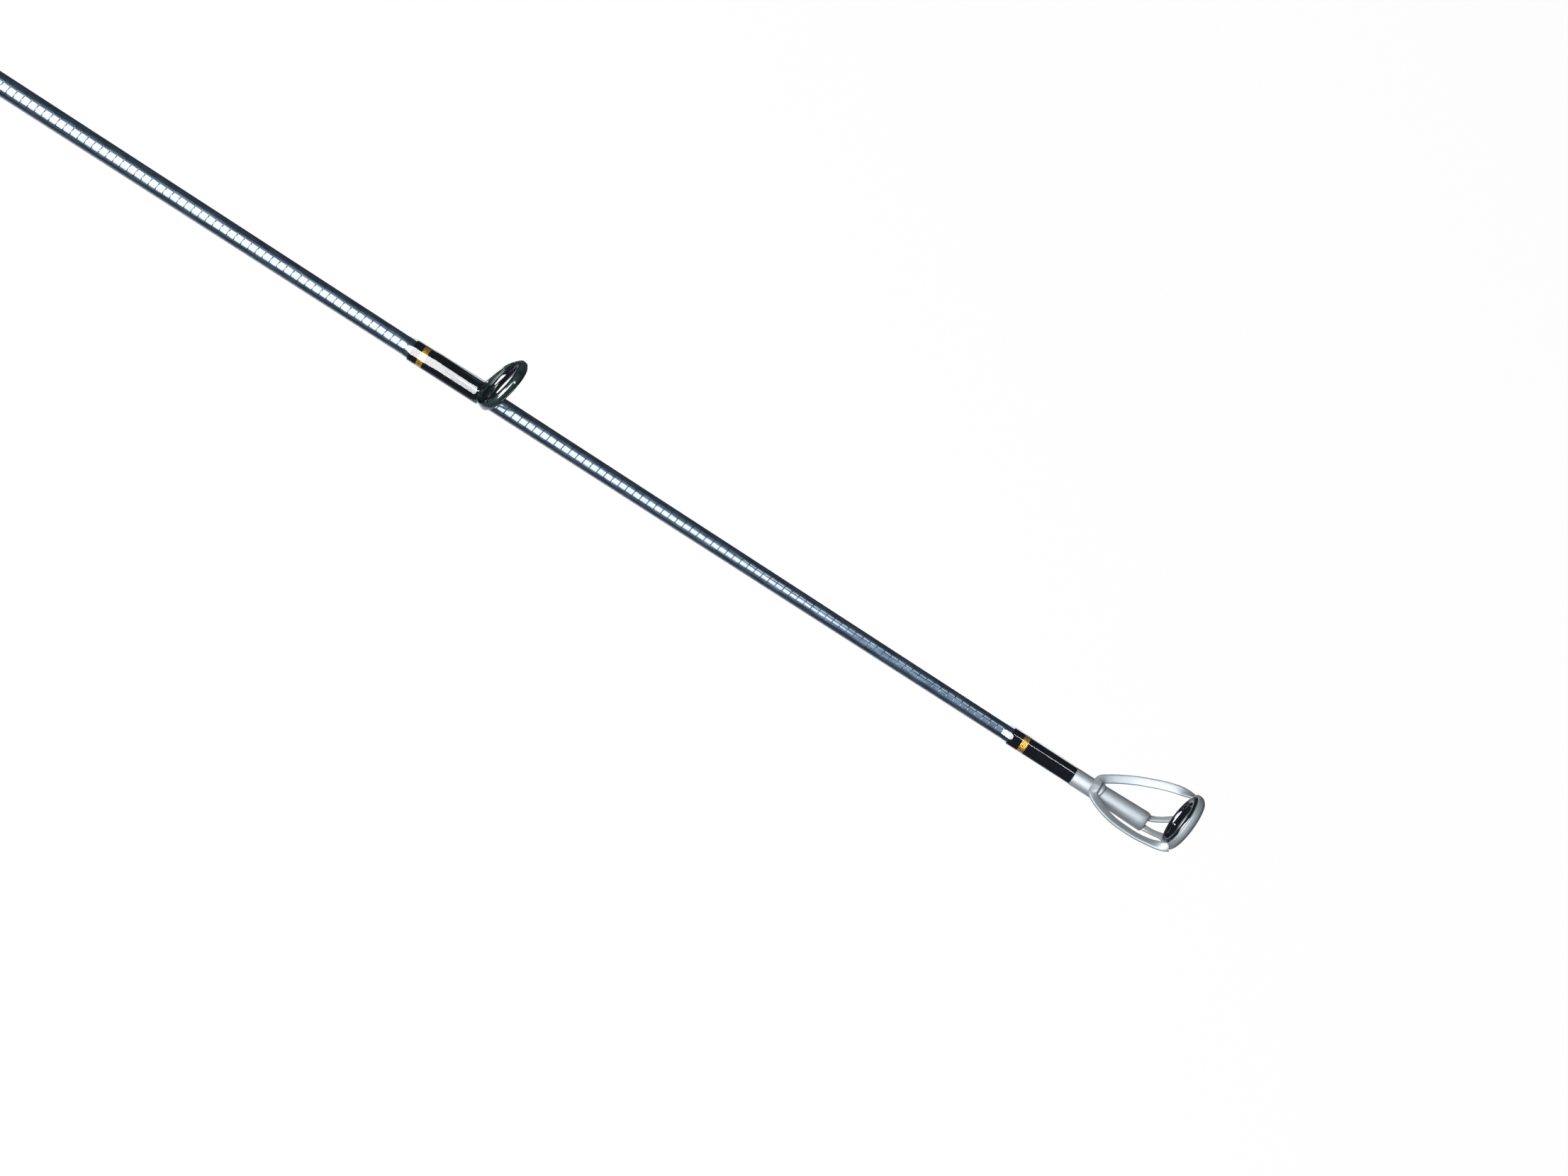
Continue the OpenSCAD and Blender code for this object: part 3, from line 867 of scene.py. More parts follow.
def strip(path: Sequence[Vector], normals: Sequence[Vector], wide: float, thick: float) -> list[Section]:
    """Sections of a flat strip along a path.

    Args:
        path: The strip's middle line.
        normals: The direction that the strip's flat side faces, at each point.
        wide: Its width.
        thick: Its thickness.

    Returns:
        One section for each point.
    """
    made = []
    last = len(path) - 1
    for i, (point, normal) in enumerate(zip(path, normals)):
        ahead = (path[min(i + 1, last)] - path[max(i - 1, 0)]).normalized()
        across = ahead.cross(normal).normalized()
        made.append(Section(point, across * wide / 2, across.cross(ahead) * thick / 2, 4.0))
    return made


def rim_edges(bm: bmesh.types.BMesh, x: float) -> list[bmesh.types.BMEdge]:
    """The open edges that lie in the plane at x."""
    return [e for e in bm.edges if e.is_boundary and all(abs(v.co.x - x) < 1e-6 for v in e.verts)]


def drawn_rim(bm: bmesh.types.BMesh, edges: list[bmesh.types.BMEdge], x: float, radius: float) -> list:
    """Extrudes an open rim to another circle about the X axis.

    Args:
        bm: The mesh.
        edges: The rim's edges.
        x: Where the new circle lies.
        radius: Its radius.

    Returns:
        The new rim's edges.
    """
    made = bmesh.ops.extrude_edge_only(bm, edges=edges)["geom"]
    for v in (e for e in made if isinstance(e, bmesh.types.BMVert)):
        away = math.hypot(v.co.y, v.co.z)
        v.co = Vector((x, v.co.y * radius / away, v.co.z * radius / away))
    return [e for e in made if isinstance(e, bmesh.types.BMEdge) and e.is_boundary]


def trimmed(bm: bmesh.types.BMesh, x0: float, x1: float) -> None:
    """Cuts a mesh off square at both ends.

    Args:
        bm: The mesh.
        x0: The lower cut.
        x1: The upper cut.
    """
    for x, outward in ((x0, -1), (x1, 1)):
        bmesh.ops.bisect_plane(
            bm,
            geom=[*bm.verts, *bm.edges, *bm.faces],
            dist=MERGE,
            plane_co=(x, 0, 0),
            plane_no=(outward, 0, 0),
            clear_outer=True,
            clear_inner=False,
        )


def reshaped(bm: bmesh.types.BMesh, radius: Callable[[float, float, float], float]) -> None:
    """Moves each point to a new distance from the X axis.

    Args:
        bm: The mesh.
        radius: Gives that distance from a point's x, its angle from +Z, and its distance now.
    """
    for v in bm.verts:
        now = math.hypot(v.co.y, v.co.z)
        if now < 1e-9:
            continue
        new = radius(v.co.x, math.atan2(v.co.y, v.co.z), now)
        v.co.y *= new / now
        v.co.z *= new / now


def softened(bm: bmesh.types.BMesh, width: float, segments: int, sharp: float) -> None:
    """Rounds every edge that is sharper than an angle.

    Args:
        bm: The mesh.
        width: How far the rounding reaches.
        segments: How many faces it has.
        sharp: The angle, in degrees.
    """
    limit = math.radians(sharp)
    edges = [e for e in bm.edges if len(e.link_faces) == 2 and e.calc_face_angle(0) > limit]
    bmesh.ops.bevel(
        bm,
        geom=edges,
        offset=width,
        offset_type="OFFSET",
        affect="EDGES",
        segments=segments,
        profile=0.5,
        material=-1,
        clamp_overlap=True,
    )


def from_node(node: str) -> bmesh.types.BMesh:
    """A merged copy of a node's mesh, with its flat faces whole.

    Args:
        node: The node's name.

    Returns:
        The copy.
    """
    bm = bmesh.new()
    bm.from_mesh(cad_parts[node].data)
    bmesh.ops.remove_doubles(bm, verts=bm.verts, dist=1e-6)
    bmesh.ops.dissolve_limit(bm, angle_limit=math.radians(0.5), verts=bm.verts, edges=bm.edges)
    return bm


def rounded(node: str, width: float, segments: int, sharp: float) -> bmesh.types.BMesh:
    """A copy of a node's mesh with its edges rounded.

    Args:
        node: The node's name.
        width: How far the rounding reaches.
        segments: How many faces it has.
        sharp: Edges sharper than this, in degrees, are rounded.

    Returns:
        The copy.
    """
    bm = from_node(node)
    softened(bm, width, segments, sharp)
    return bm


def length_of(node: str) -> float:
    """The length of a node along X."""
    low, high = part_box(node)
    return high.x - low.x


def outer_line(node: str) -> list[tuple[float, float]]:
    """The outside of a turned node, as points of x and radius.

    Points well inside the widest radius are those of the bore, and are left out.

    Args:
        node: The node's name.

    Returns:
        Its largest radius in each short step along X where its outside has points, in order.
    """
    step, bore_share = 0.25 * MM, 0.62
    places = [(v.co.x, math.hypot(v.co.y, v.co.z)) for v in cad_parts[node].data.vertices]
    least = bore_share * max(r for _, r in places)
    widest: dict[int, tuple[float, float]] = {}
    for x, r in places:
        key = round(x / step)
        if r > least and r > widest.get(key, (0.0, 0.0))[1]:
            widest[key] = (x, r)
    return sorted(widest.values())


@dataclass
class Bench:
    """Makes finished meshes into pieces of the rod, and counts them."""

    made: int = 0
    triangles: int = 0

    def add(
        self,
        bm: bmesh.types.BMesh,
        name: str,
        body: Body,
        finish: Finish,
        stands_for: Sequence[str] = (),
        crease: float = 40.0,
    ) -> bpy.types.Object:
        """Makes one piece.

        Args:
            bm: The piece's mesh, in place. It is freed.
            name: The piece's name.
            body: The body that it moves with.
            finish: Its finish.
            stands_for: The frame's nodes that it replaces.
            crease: Edges sharper than this, in degrees, stay sharp.

        Returns:
            The piece.
        """
        mesh = bpy.data.meshes.new(name)
        bm.to_mesh(mesh)
        bm.free()
        mesh.shade_smooth()
        mesh.set_sharp_from_angle(angle=math.radians(crease))
        mesh.materials.append(finish.material())
        piece = bpy.data.objects.new(name, mesh)
        bpy.context.scene.collection.objects.link(piece)
        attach(piece, body.value)
        if stands_for:
            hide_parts(*stands_for)
        mesh.calc_loop_triangles()
        self.made += 1
        self.triangles += len(mesh.loop_triangles)
        LOG.info("%s rides on %s, %d triangles", name, body.value, len(mesh.loop_triangles))
        return piece

    def dress(self, node: str, finish: Finish) -> None:
        """Gives a node that stays its finish.

        Args:
            node: The node's name.
            finish: Its finish.
        """
        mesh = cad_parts[node].data
        mesh.materials.clear()
        mesh.materials.append(finish.material())
        self.made += 1
        LOG.info("%s keeps its shape", node)


# ---------------------------------------------------------------------------------------------
# Blank
# ---------------------------------------------------------------------------------------------


@dataclass
class Taper:
    """The straight taper of the blank's outside, read from the two sections."""

    thick_x: float = 0.0
    thick_r: float = 0.0
    slope: float = 0.0

    def __post_init__(self) -> None:
        """Reads both sections' thick ends."""
        butt_low, butt_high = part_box("butt_blank")
        tip_low, tip_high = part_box("tip_blank")
        self.thick_x, self.thick_r = butt_low.x, butt_high.z
        self.slope = (tip_high.z - butt_high.z) / (tip_low.x - butt_low.x)

    def radius(self, x: float) -> float:
        """The blank's outer radius at x."""
        return self.thick_r + self.slope * (x - self.thick_x)


@dataclass
class Blank:
    """The two sections of the blank, with the ridges that the wrapping tape leaves."""

    taper: Taper
    pitch: float = 1.18 * MM
    ridge: Points = ((0.0, -0.030), (0.065, 0.0), (0.935, 0.0))
    crease: float = 14.0
    sides: int = 28
    base_r: float = 1 * MM
    wall: float = 0.6 * MM
    tip_wall: float = 0.45 * MM

    def section(self, x0: float, x1: float) -> bmesh.types.BMesh:
        """A closed tube with ridges outside.

        Args:
            x0: Its thick end.
            x1: Its thin end.

        Returns:
            The mesh.
        """
        turns = math.ceil((x1 - x0) / self.pitch) + 2
        line = [
            (x0 + (turn + share - 1.5) * self.pitch, self.base_r + rise * MM)
            for turn in range(turns)
            for share, rise in self.ridge
        ]
        bm = spun(line, self.sides, self.pitch)
        reshaped(bm, lambda x, angle, now: self.taper.radius(x) + now - self.base_r)
        trimmed(bm, x0, x1)
        thick_rim, thin_rim = rim_edges(bm, x0), rim_edges(bm, x1)
        inner = drawn_rim(bm, thick_rim, x0, self.taper.radius(x0) - self.wall)
        far = drawn_rim(bm, inner, x1, self.taper.radius(x1) - self.tip_wall)
        bmesh.ops.bridge_loops(bm, edges=[*far, *thin_rim])
        bmesh.ops.recalc_face_normals(bm, faces=bm.faces)
        return bm

    def build(self, bench: Bench) -> None:
        """Makes both sections and the spigot.

        Args:
            bench: Where pieces are made.
        """
        for node, body in (("tip_blank", Body.TIP), ("butt_blank", Body.BUTT)):
            low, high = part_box(node)
            tube = self.section(low.x, high.x)
            bench.add(tube, f"{node}_ridged", body, BLANK, [node], self.crease)
        bench.dress("ferrule_spigot", SPIGOT)


# ---------------------------------------------------------------------------------------------
# Wraps
# ---------------------------------------------------------------------------------------------


@dataclass
class Wrap:
    """Thread round the blank: a black wrap with a gold band near its far end, under epoxy.

    Where a foot lies under it, the wrap rises on the guides' side.
    """

    taper: Taper
    x0: float
    x1: float
    gold_x0: float
    gold_x1: float
    skin_x0: float
    skin_x1: float
    foot_x0: float = 0.0
    foot_x1: float = 0.0
    thread: float = 0.2 * MM
    cover: float = 0.13 * MM
    climb: float = 0.0
    climb_run: float = 1.5 * MM
    foot_rise: float = 0.17 * MM
    foot_ramp: float = 2.2 * MM
    gold_thread: float = 0.235 * MM
    rim: float = 0.02 * MM
    lining: float = 0.002 * MM
    sides: int = 40
    turn_shape: Points = ((0.0, 0.62), (0.2, 0.92), (0.5, 1.0), (0.8, 0.92))

    def over_foot(self, x: float, angle: float, r: float) -> float:
        """The radius of a wrap of radius r where it passes over the foot.

        Args:
            x: The place along the rod.
            angle: The angle from the guides' side.
            r: The radius beside the foot.

        Returns:
            The radius.
        """
        if self.foot_x1 <= self.foot_x0:
            return r
        near = min(max((x - self.foot_x0) / self.foot_ramp, 0.0), 1.0)
        far = min(max((self.foot_x1 - x) / self.foot_ramp, 0.0), 1.0)
        rise = self.foot_rise * near * near * (3 - 2 * near) * far * far * (3 - 2 * far)
        rise += self.climb * min(max((x - self.skin_x1) / self.climb_run + 1, 0.0), 1.0) ** 2.5
        lifted = rise * math.cos(angle) + math.sqrt(r * r - (rise * math.sin(angle)) ** 2)
        return max(r, lifted)

    def turns(self, x0: float, x1: float, thread: float) -> bmesh.types.BMesh:
        """Single turns of thread, as one screw surface closed onto the blank.

        Args:
            x0: Where they start.
            x1: Where they end.
            thread: The thread's thickness, which is also its pitch.

        Returns:
            The mesh.
        """
        count = max(2, round((x1 - x0) / thread))
        pitch = (x1 - x0) / count
        base = 1 * MM
        line = [
            (x0 + (turn + share - 1) * pitch, base + height * thread)
            for turn in range(count + 2)
            for share, height in self.turn_shape
        ]
        bm = spun(line, self.sides, pitch)
        trimmed(bm, x0, x1)
        reshaped(bm, lambda x, angle, now: self.over_foot(x, angle, self.taper.radius(x) + (now - base)))
        near = drawn_rim(bm, rim_edges(bm, x0), x0, self.taper.radius(x0) - self.rim)
        far = drawn_rim(bm, near, x1, self.taper.radius(x1) - self.rim)
        bmesh.ops.bridge_loops(bm, edges=[*far, *[e for e in rim_edges(bm, x1) if e not in far]])
        bmesh.ops.recalc_face_normals(bm, faces=bm.faces)
        return bm

    def epoxy(self) -> bmesh.types.BMesh:
        """The epoxy's closed skin, thin at its free ends.

        Returns:
            The mesh.
        """
        full = self.thread + self.cover
        outer: list[tuple[float, float]] = []
        steps = 60
        for i in range(steps + 1):
            x = self.skin_x0 + (self.skin_x1 - self.skin_x0) * i / steps
            near = self.swell(x - self.skin_x0, self.x0 - self.skin_x0)
            far = self.swell(self.skin_x1 - x, self.skin_x1 - self.x1)
            outer.append((x, self.taper.radius(x) + self.rim + (full - self.rim) * near * far))
        low, hold = self.lining, self.thread + 2 * self.lining
        inner = [
            (self.skin_x1, low),
            (self.x1, low),
            (self.x1, hold),
            (self.x0, hold),
            (self.x0, low),
            (self.skin_x0, low),
        ]
        under = [(x, self.taper.radius(x) + rise) for x, rise in inner]
        bm = spun([*outer, *under], self.sides, closed=True)
        reshaped(bm, self.over_foot)
        return bm

    @staticmethod
    def swell(inside: float, run: float) -> float:
        """How full the epoxy is near a free end.

        Args:
            inside: The distance in from the epoxy's end.
            run: The length of epoxy past the thread, or 0 at an end that meets another piece.

        Returns:
            A share from 0 to 1.
        """
        if run < 0.05 * MM:
            return 1.0
        t = min(max(inside / (run + 0.5 * MM), 0.0), 1.0)
        return math.sin(t * math.pi / 2) ** 1.3

    def build(self, bench: Bench, name: str, body: Body, stands_for: bool = True) -> None:
        """Makes the thread, the gold band and the epoxy.

        Args:
            bench: Where pieces are made.
            name: The start of the pieces' names, which is also that of their nodes.
            body: The body that the wrap is on.
            stands_for: Whether the pieces replace the nodes of that name.
        """
        for label, x0, x1 in (("rear", self.x0, self.gold_x0), ("front", self.gold_x1, self.x1)):
            nodes = [f"{name}_wrap"] if stands_for and label == "rear" else []
            bench.add(self.turns(x0, x1, self.thread), f"{name}_thread_{label}", body, THREAD, nodes)
        nodes = [f"{name}_trim"] if stands_for else []
        gold = self.turns(self.gold_x0, self.gold_x1, self.gold_thread)
        bench.add(gold, f"{name}_gold_turns", body, GOLD_THREAD, nodes)
        nodes = [f"{name}_epoxy"] if stands_for else []
        bench.add(self.epoxy(), f"{name}_clear_coat", body, EPOXY, nodes)


def wrap_between(taper: Taper, name: str, **changes: float) -> Wrap:
    """A wrap with the place of the frame's nodes of that name.

    Args:
        taper: The blank's taper.
        name: The start of the nodes' names.
        changes: Fields that differ.

    Returns:
        The wrap.
    """
    wrap_low, wrap_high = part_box(f"{name}_wrap")
    gold_low, gold_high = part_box(f"{name}_trim")
    skin_low, skin_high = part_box(f"{name}_epoxy")
    fields = {
        "x0": wrap_low.x,
        "x1": wrap_high.x,
        "gold_x0": gold_low.x,
        "gold_x1": gold_high.x,
        "skin_x0": skin_low.x,
        "skin_x1": skin_high.x,
    }
    return Wrap(taper, **{**fields, **changes})


# ---------------------------------------------------------------------------------------------
# Guides
# ---------------------------------------------------------------------------------------------


def leaning(centre: Vector, lean: float) -> Matrix:
    """The place of a ring: its X axis points backward along the hole, and its Z axis up the ring.

    Args:
        centre: The ring's centre.
        lean: How far the ring leans forward, in radians.

    Returns:
        The matrix.
    """
    back = Vector((-math.cos(lean), 0, math.sin(lean)))
    up = Vector((math.sin(lean), 0, math.cos(lean)))
    turn = Matrix((back, Vector((0, -1, 0)), up)).transposed().to_4x4()
    return Matrix.Translation(centre) @ turn


@dataclass
class Guide:
    """A line guide: a ceramic ring in a stamped cup, on one foot or on two."""

    number: int
    taper: Taper
    lean: float
    body: Body
    ring_thick: float = 1.1 * MM
    ring_wide: float = 1.2 * MM
    metal: float = 0.43 * MM
    cup_depth: float = 0.8 * MM
    foot_wide: float = 1.7 * MM
    foot_length: float = 9.5 * MM
    proud: float = 0.03 * MM
    crease: float = 70.0
    sides: int = 72

    def __post_init__(self) -> None:
        """Reads the ring's place and size."""
        low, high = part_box(f"guide_{self.number}_ring")
        self.centre = (low + high) / 2
        self.ring_r = high.y
        self.place = leaning(self.centre, self.lean)

    @property
    def two_feet(self) -> bool:
        """Whether the guide also has a foot in front."""
        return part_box(f"guide_{self.number}_wrap")[1].x > self.centre.x

    def ring(self) -> bmesh.types.BMesh:
        """The ceramic ring, whose front lip stands out of the metal.

        Returns:
            The mesh.
        """
        rear, front = 0.46 * MM, -self.ring_wide / 2 - 0.24 * MM
        inner = self.ring_r - self.ring_thick
        knots = [
            (rear, inner + 0.62 * MM),
            (rear * 0.7, inner + 0.16 * MM),
            (-0.1 * MM, inner),
            (-0.5 * MM, inner + 0.12 * MM),
            (front, inner + 0.6 * MM),
            (front + 0.02 * MM, self.ring_r + 0.02 * MM),
            (front + 0.18 * MM, self.ring_r + 0.12 * MM),
            (front + 0.28 * MM, self.ring_r - 0.01 * MM),
            (0, self.ring_r - 0.01 * MM),
            (rear * 0.75, self.ring_r - 0.03 * MM),
            (rear, self.ring_r - 0.22 * MM),
        ]
        bm = hoop(knots, 4, self.sides)
        bm.transform(self.place)
        return bm

    def cup(self) -> bmesh.types.BMesh:
        """The band round the ring, and the cup behind it that deepens towards the foot.

        Returns:
            The mesh.
        """
        r, outer = self.ring_r + 0.005 * MM, self.ring_r + self.metal
        knots = [
            (-0.50 * MM, r + 0.03 * MM),
            (-0.53 * MM, outer - 0.10 * MM),
            (-0.40 * MM, outer),
            (0.0, outer),
            (0.18 * MM, outer - 0.06 * MM),
            (0.36 * MM, outer - 0.22 * MM),
            (0.42 * MM, outer - 0.36 * MM),
            (0.34 * MM, r),
            (0.10 * MM, r),
        ]
        bm = hoop(knots, 3, self.sides)
        start = 0.12 * MM
        for v in bm.verts:
            if v.co.x <= start:
                continue
            low = (1 - v.co.z / math.hypot(v.co.y, v.co.z)) / 2
            share = (v.co.x - start) / (0.42 * MM - start)
            v.co.x += self.cup_depth * max(0.0, (low - 0.45) / 0.55) * share
        bm.transform(self.place)
        reshaped(bm, lambda x, angle, now: max(now, self.taper.radius(x) + self.proud))
        return bm

    def foot(self, start: float, end: float, end_high: float) -> bmesh.types.BMesh:
        """The tongue under the thread, with its neck that rises to the cup.

        Args:
            start: Where its thin end lies.
            end: Where it leaves the thread.
            end_high: The height of the neck's end over the blank.

        Returns:
            The mesh.
        """
        ahead = 1 if end > start else -1
        stations = [
            (start, 0.55, 0.10),
            (start + ahead * 1.2 * MM, 0.8, 0.16),
            (start + ahead * self.foot_length * 0.6, 0.95, 0.24),
            (end - ahead * 0.8 * MM, 1.0, 0.30),
            (end - ahead * 0.2 * MM, 1.1, 0.62),
            (end + ahead * 0.3 * MM, 1.2, end_high * 0.6 / MM),
            (end + ahead * 0.8 * MM, 1.3, end_high / MM),
        ]
        cuts = []
        for x, share, high in stations:
            floor = self.taper.radius(x) - 0.12 * MM
            top = self.taper.radius(x) + high * MM
            middle = Vector((x, 0, (floor + top) / 2))
            side, rise = Vector((0, self.foot_wide * share / 2, 0)), Vector((0, 0, (top - floor) / 2))
            cuts.append(Section(middle, side, rise, 4.0))
        return lofted(cuts, 20)

    def struts(self, foot_end: float) -> list[list[Section]]:
        """The two struts from the front foot up to the band.

        Args:
            foot_end: Where the foot in front starts.

        Returns:
            The sections of each strut.
        """
        made = []
        base = self.taper.radius(foot_end)
        halfway = (foot_end + self.centre.x) / 2 + 0.6 * MM
        for side in (-1, 1):
            points = [
                (foot_end + 0.7 * MM, side * 0.45 * MM, base + 0.45 * MM),
                (foot_end - 0.4 * MM, side * 0.9 * MM, base + 1.1 * MM),
                (halfway, side * self.ring_r * 0.62, base + (self.centre.z - base) * 0.55),
                (self.centre.x + 0.7 * MM, side * (self.ring_r + 0.3 * MM), self.centre.z + 0.5 * MM),
            ]
            path = curve(points, 6)
            out = [Vector((0.5, side, 0.1)).normalized()] * len(path)
            made.append(strip(path, out, 1.3 * MM, 0.5 * MM))
        return made

    def build(self, bench: Bench) -> None:
        """Makes the guide and its wraps.

        Args:
            bench: Where pieces are made.
        """
        name = f"guide_{self.number}"
        ring, cup = self.ring(), self.cup()
        bench.add(ring, f"{name}_polished_ring", self.body, CERAMIC, [f"{name}_ring"], self.crease)
        bench.add(cup, f"{name}_cup", self.body, GUIDE_METAL, [f"{name}_frame"], self.crease)
        low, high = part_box(f"{name}_wrap")
        length = length_of("guide_1_wrap")
        wrap = wrap_between(self.taper, name)
        lap = wrap.gold_x0 - wrap.x0
        band = length_of("guide_1_trim")
        run = wrap.x0 - wrap.skin_x0
        end = low.x + length + 0.7 * MM
        reach = 0.6 * (self.ring_r + self.metal)
        foot = self.foot(end - self.foot_length, end, reach)
        bench.add(foot, f"{name}_rear_foot", self.body, GUIDE_METAL)
        rear = Wrap(
            self.taper,
            low.x,
            low.x + length,
            low.x + lap,
            low.x + lap + band,
            low.x - run,
            low.x + length + 0.35 * MM,
            end - self.foot_length - 0.8 * MM,
            end + 8 * MM,
            climb=1.1 * MM,
        )
        rear.build(bench, name, self.body)
        if self.two_feet:
            self.build_front(bench, name, high.x, length, lap, band, run)

    def build_front(
        self, bench: Bench, name: str, far: float, length: float, lap: float, band: float, run: float
    ) -> None:
        """Makes the front foot, its struts and its wrap.

        Args:
            bench: Where pieces are made.
            name: The guide's name.
            far: Where the front wrap ends.
            length: The length of one wrap.
            lap: The thread beyond the gold band.
            band: The gold band's length.
            run: The epoxy beyond the thread.
        """
        near = far - length
        foot = self.foot(near + self.foot_length, near - 0.7 * MM, 0.9 * MM)
        bench.add(foot, f"{name}_front_foot", self.body, GUIDE_METAL)
        for side, cuts in zip(("right", "left"), self.struts(near - 0.9 * MM)):
            bench.add(lofted(cuts, 16), f"{name}_{side}_strut", self.body, GUIDE_METAL)
        front = Wrap(
            self.taper,
            near,
            far,
            far - lap - band,
            far - lap,
            near - 0.35 * MM,
            far + run,
            near - 8 * MM,
            near + self.foot_length + 0.8 * MM,
        )
        front.build(bench, f"{name}_front", self.body, stands_for=False)


# ---------------------------------------------------------------------------------------------
# Tip top
# ---------------------------------------------------------------------------------------------


@dataclass
class TipTop:
    """The guide at the rod's end: a tube, a bent strip that carries the ring, and two short legs."""

    taper: Taper
    lean: float = math.radians(7)
    ring_thick: float = 1.1 * MM
    ring_wide: float = 1.35 * MM
    metal: float = 0.43 * MM
    band_wide: float = 1.3 * MM
    strip_wide: float = 1.3 * MM
    strip_thick: float = 0.5 * MM
    saddle_in: float = 3.4 * MM
    arm_cant: float = 0.45
    gold_shift: float = 0.3 * MM
    sides: int = 96

    def __post_init__(self) -> None:
        """Reads the tube's and the ring's places."""
        low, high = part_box("tiptop_ring")
        self.ring_r = high.y
        tube_low, tube_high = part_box("tiptop_tube")
        self.tube_x0, self.tube_x1 = tube_low.x, tube_high.x
        self.nose_r = tube_high.z
        self.tube_r = self.nose_r - 0.15 * MM
        back = Vector((-math.cos(self.lean), 0, math.sin(self.lean)))
        self.centre = (low + high) / 2 - back * 0.275 * MM
        self.place = leaning(self.centre, self.lean)

    def tube(self) -> bmesh.types.BMesh:
        """The tube: straight at its mouth, then flared, with a closed round nose.

        Returns:
            The mesh.
        """
        inner = self.taper.radius(self.tube_x0) + 0.005 * MM
        line = [
            (self.tube_x0 + 0.02 * MM, inner),
            (self.tube_x0, inner + 0.08 * MM),
            (self.tube_x0 + 0.04 * MM, self.tube_r - 0.03 * MM),
            (self.tube_x0 + 0.14 * MM, self.tube_r),
            (self.tube_x0 + 5 * MM, self.tube_r),
            (self.tube_x1 - 3.5 * MM, self.tube_r + 0.09 * MM),
            (self.tube_x1 - 1.2 * MM, self.nose_r - 0.01 * MM),
            (self.tube_x1 - 0.35 * MM, self.nose_r),
            (self.tube_x1 - 0.12 * MM, self.nose_r - 0.07 * MM),
            (self.tube_x1 - 0.02 * MM, self.nose_r - 0.22 * MM),
            (self.tube_x1, self.nose_r - 0.45 * MM),
            (self.tube_x1, 0.0),
        ]
        end = self.tube_x1 - 2.6 * MM
        line += [(end, 0.0), (end, inner), (self.tube_x0 + 0.02 * MM, inner)]
        bm = spun(line, self.sides)
        bmesh.ops.remove_doubles(bm, verts=bm.verts, dist=1e-6)
        bmesh.ops.recalc_face_normals(bm, faces=bm.faces)
        return bm

    def ring(self) -> bmesh.types.BMesh:
        """The ceramic ring.

        Returns:
            The mesh.
        """
        middle = self.ring_r - self.ring_thick / 2
        shift = -0.4 * MM + self.ring_wide / 2
        line = [
            (shift + a * self.ring_wide / 2, middle + b * (self.ring_thick / 2 - 0.005 * MM))
            for a, b in unit_section(2.5, 36)
        ]
        bm = spun(line, self.sides, closed=True)
        bm.transform(self.place)
        return bm

    def band(self) -> bmesh.types.BMesh:
        """The band round the ring, with a lip in front.

        Returns:
            The mesh.
        """
        half, r, outer = self.band_wide / 2, self.ring_r, self.ring_r + self.metal
        knots = [
            (half, r + 0.06 * MM),
            (half, outer - 0.10 * MM),
            (half - 0.1 * MM, outer),
            (0.0, outer - 0.02 * MM),
            (-half + 0.35 * MM, outer - 0.16 * MM),
            (-half + 0.09 * MM, outer - 0.42 * MM),
            (-half, r - 0.25 * MM),
            (-half + 0.1 * MM, r - 0.42 * MM),
            (-half + 0.25 * MM, r - 0.30 * MM),
            (-half + 0.27 * MM, r),
            (half - 0.1 * MM, r),
        ]
        bm = hoop(knots, 3, self.sides)
        bm.transform(self.place)
        return bm

    def fork(self) -> bmesh.types.BMesh:
        """The strip that lies over the tube and opens into two arms, which end on the band's sides.

        Returns:
            The mesh.
        """
        start = Vector((self.tube_x0 + self.saddle_in, 0, 0))
        side_y = self.ring_r + self.metal + self.strip_thick * 0.4
        reach = self.centre.x - start.x
        half_arm = [
            (0.0, 0.0, self.tube_r + 0.05 * MM),
            (0.0, 0.95 * MM, self.tube_r - 0.1 * MM),
            (0.3 * MM, 1.45 * MM, self.tube_r - 0.17 * MM),
            (0.95 * MM, 1.95 * MM, self.tube_r - 0.18 * MM),
            (2.2 * MM, 2.7 * MM, self.tube_r + 0.06 * MM),
            (4.2 * MM, 3.62 * MM, self.tube_r + 0.64 * MM),
            (6.2 * MM, 4.22 * MM, self.tube_r + 1.40 * MM),
            (8.2 * MM, 4.66 * MM, self.tube_r + 2.24 * MM),
            (10.1 * MM, side_y + 0.18 * MM, self.tube_r + 3.10 * MM),
            (reach - 1.0 * MM, side_y + 0.05 * MM, self.centre.z - 0.50 * MM),
            (reach - 0.2 * MM, side_y - 0.22 * MM, self.centre.z - 0.12 * MM),
        ]
        path, normals = [], []
        for side in (1, -1):
            points = [start + Vector((x, side * y, z)) for x, y, z in half_arm]
            faces = []
            for x, y, _ in half_arm:
                turn = min(max((x / reach - 0.75) / 0.35, 0.0), 0.7)
                flat = Vector((-0.36, -side * self.arm_cant * min(y / MM, 1.0), 0.93))
                faces.append(flat.lerp(Vector((0, side, 0.1)), turn).normalized())
            line, turned = curve(points, 5), curve(faces, 5)
            if side == 1:
                line, turned = line[::-1], turned[::-1]
            else:
                line, turned = line[1:], turned[1:]
            path += line
            normals += turned
        cuts = strip(path, normals, self.strip_wide, self.strip_thick)
        return lofted(cuts, 20)

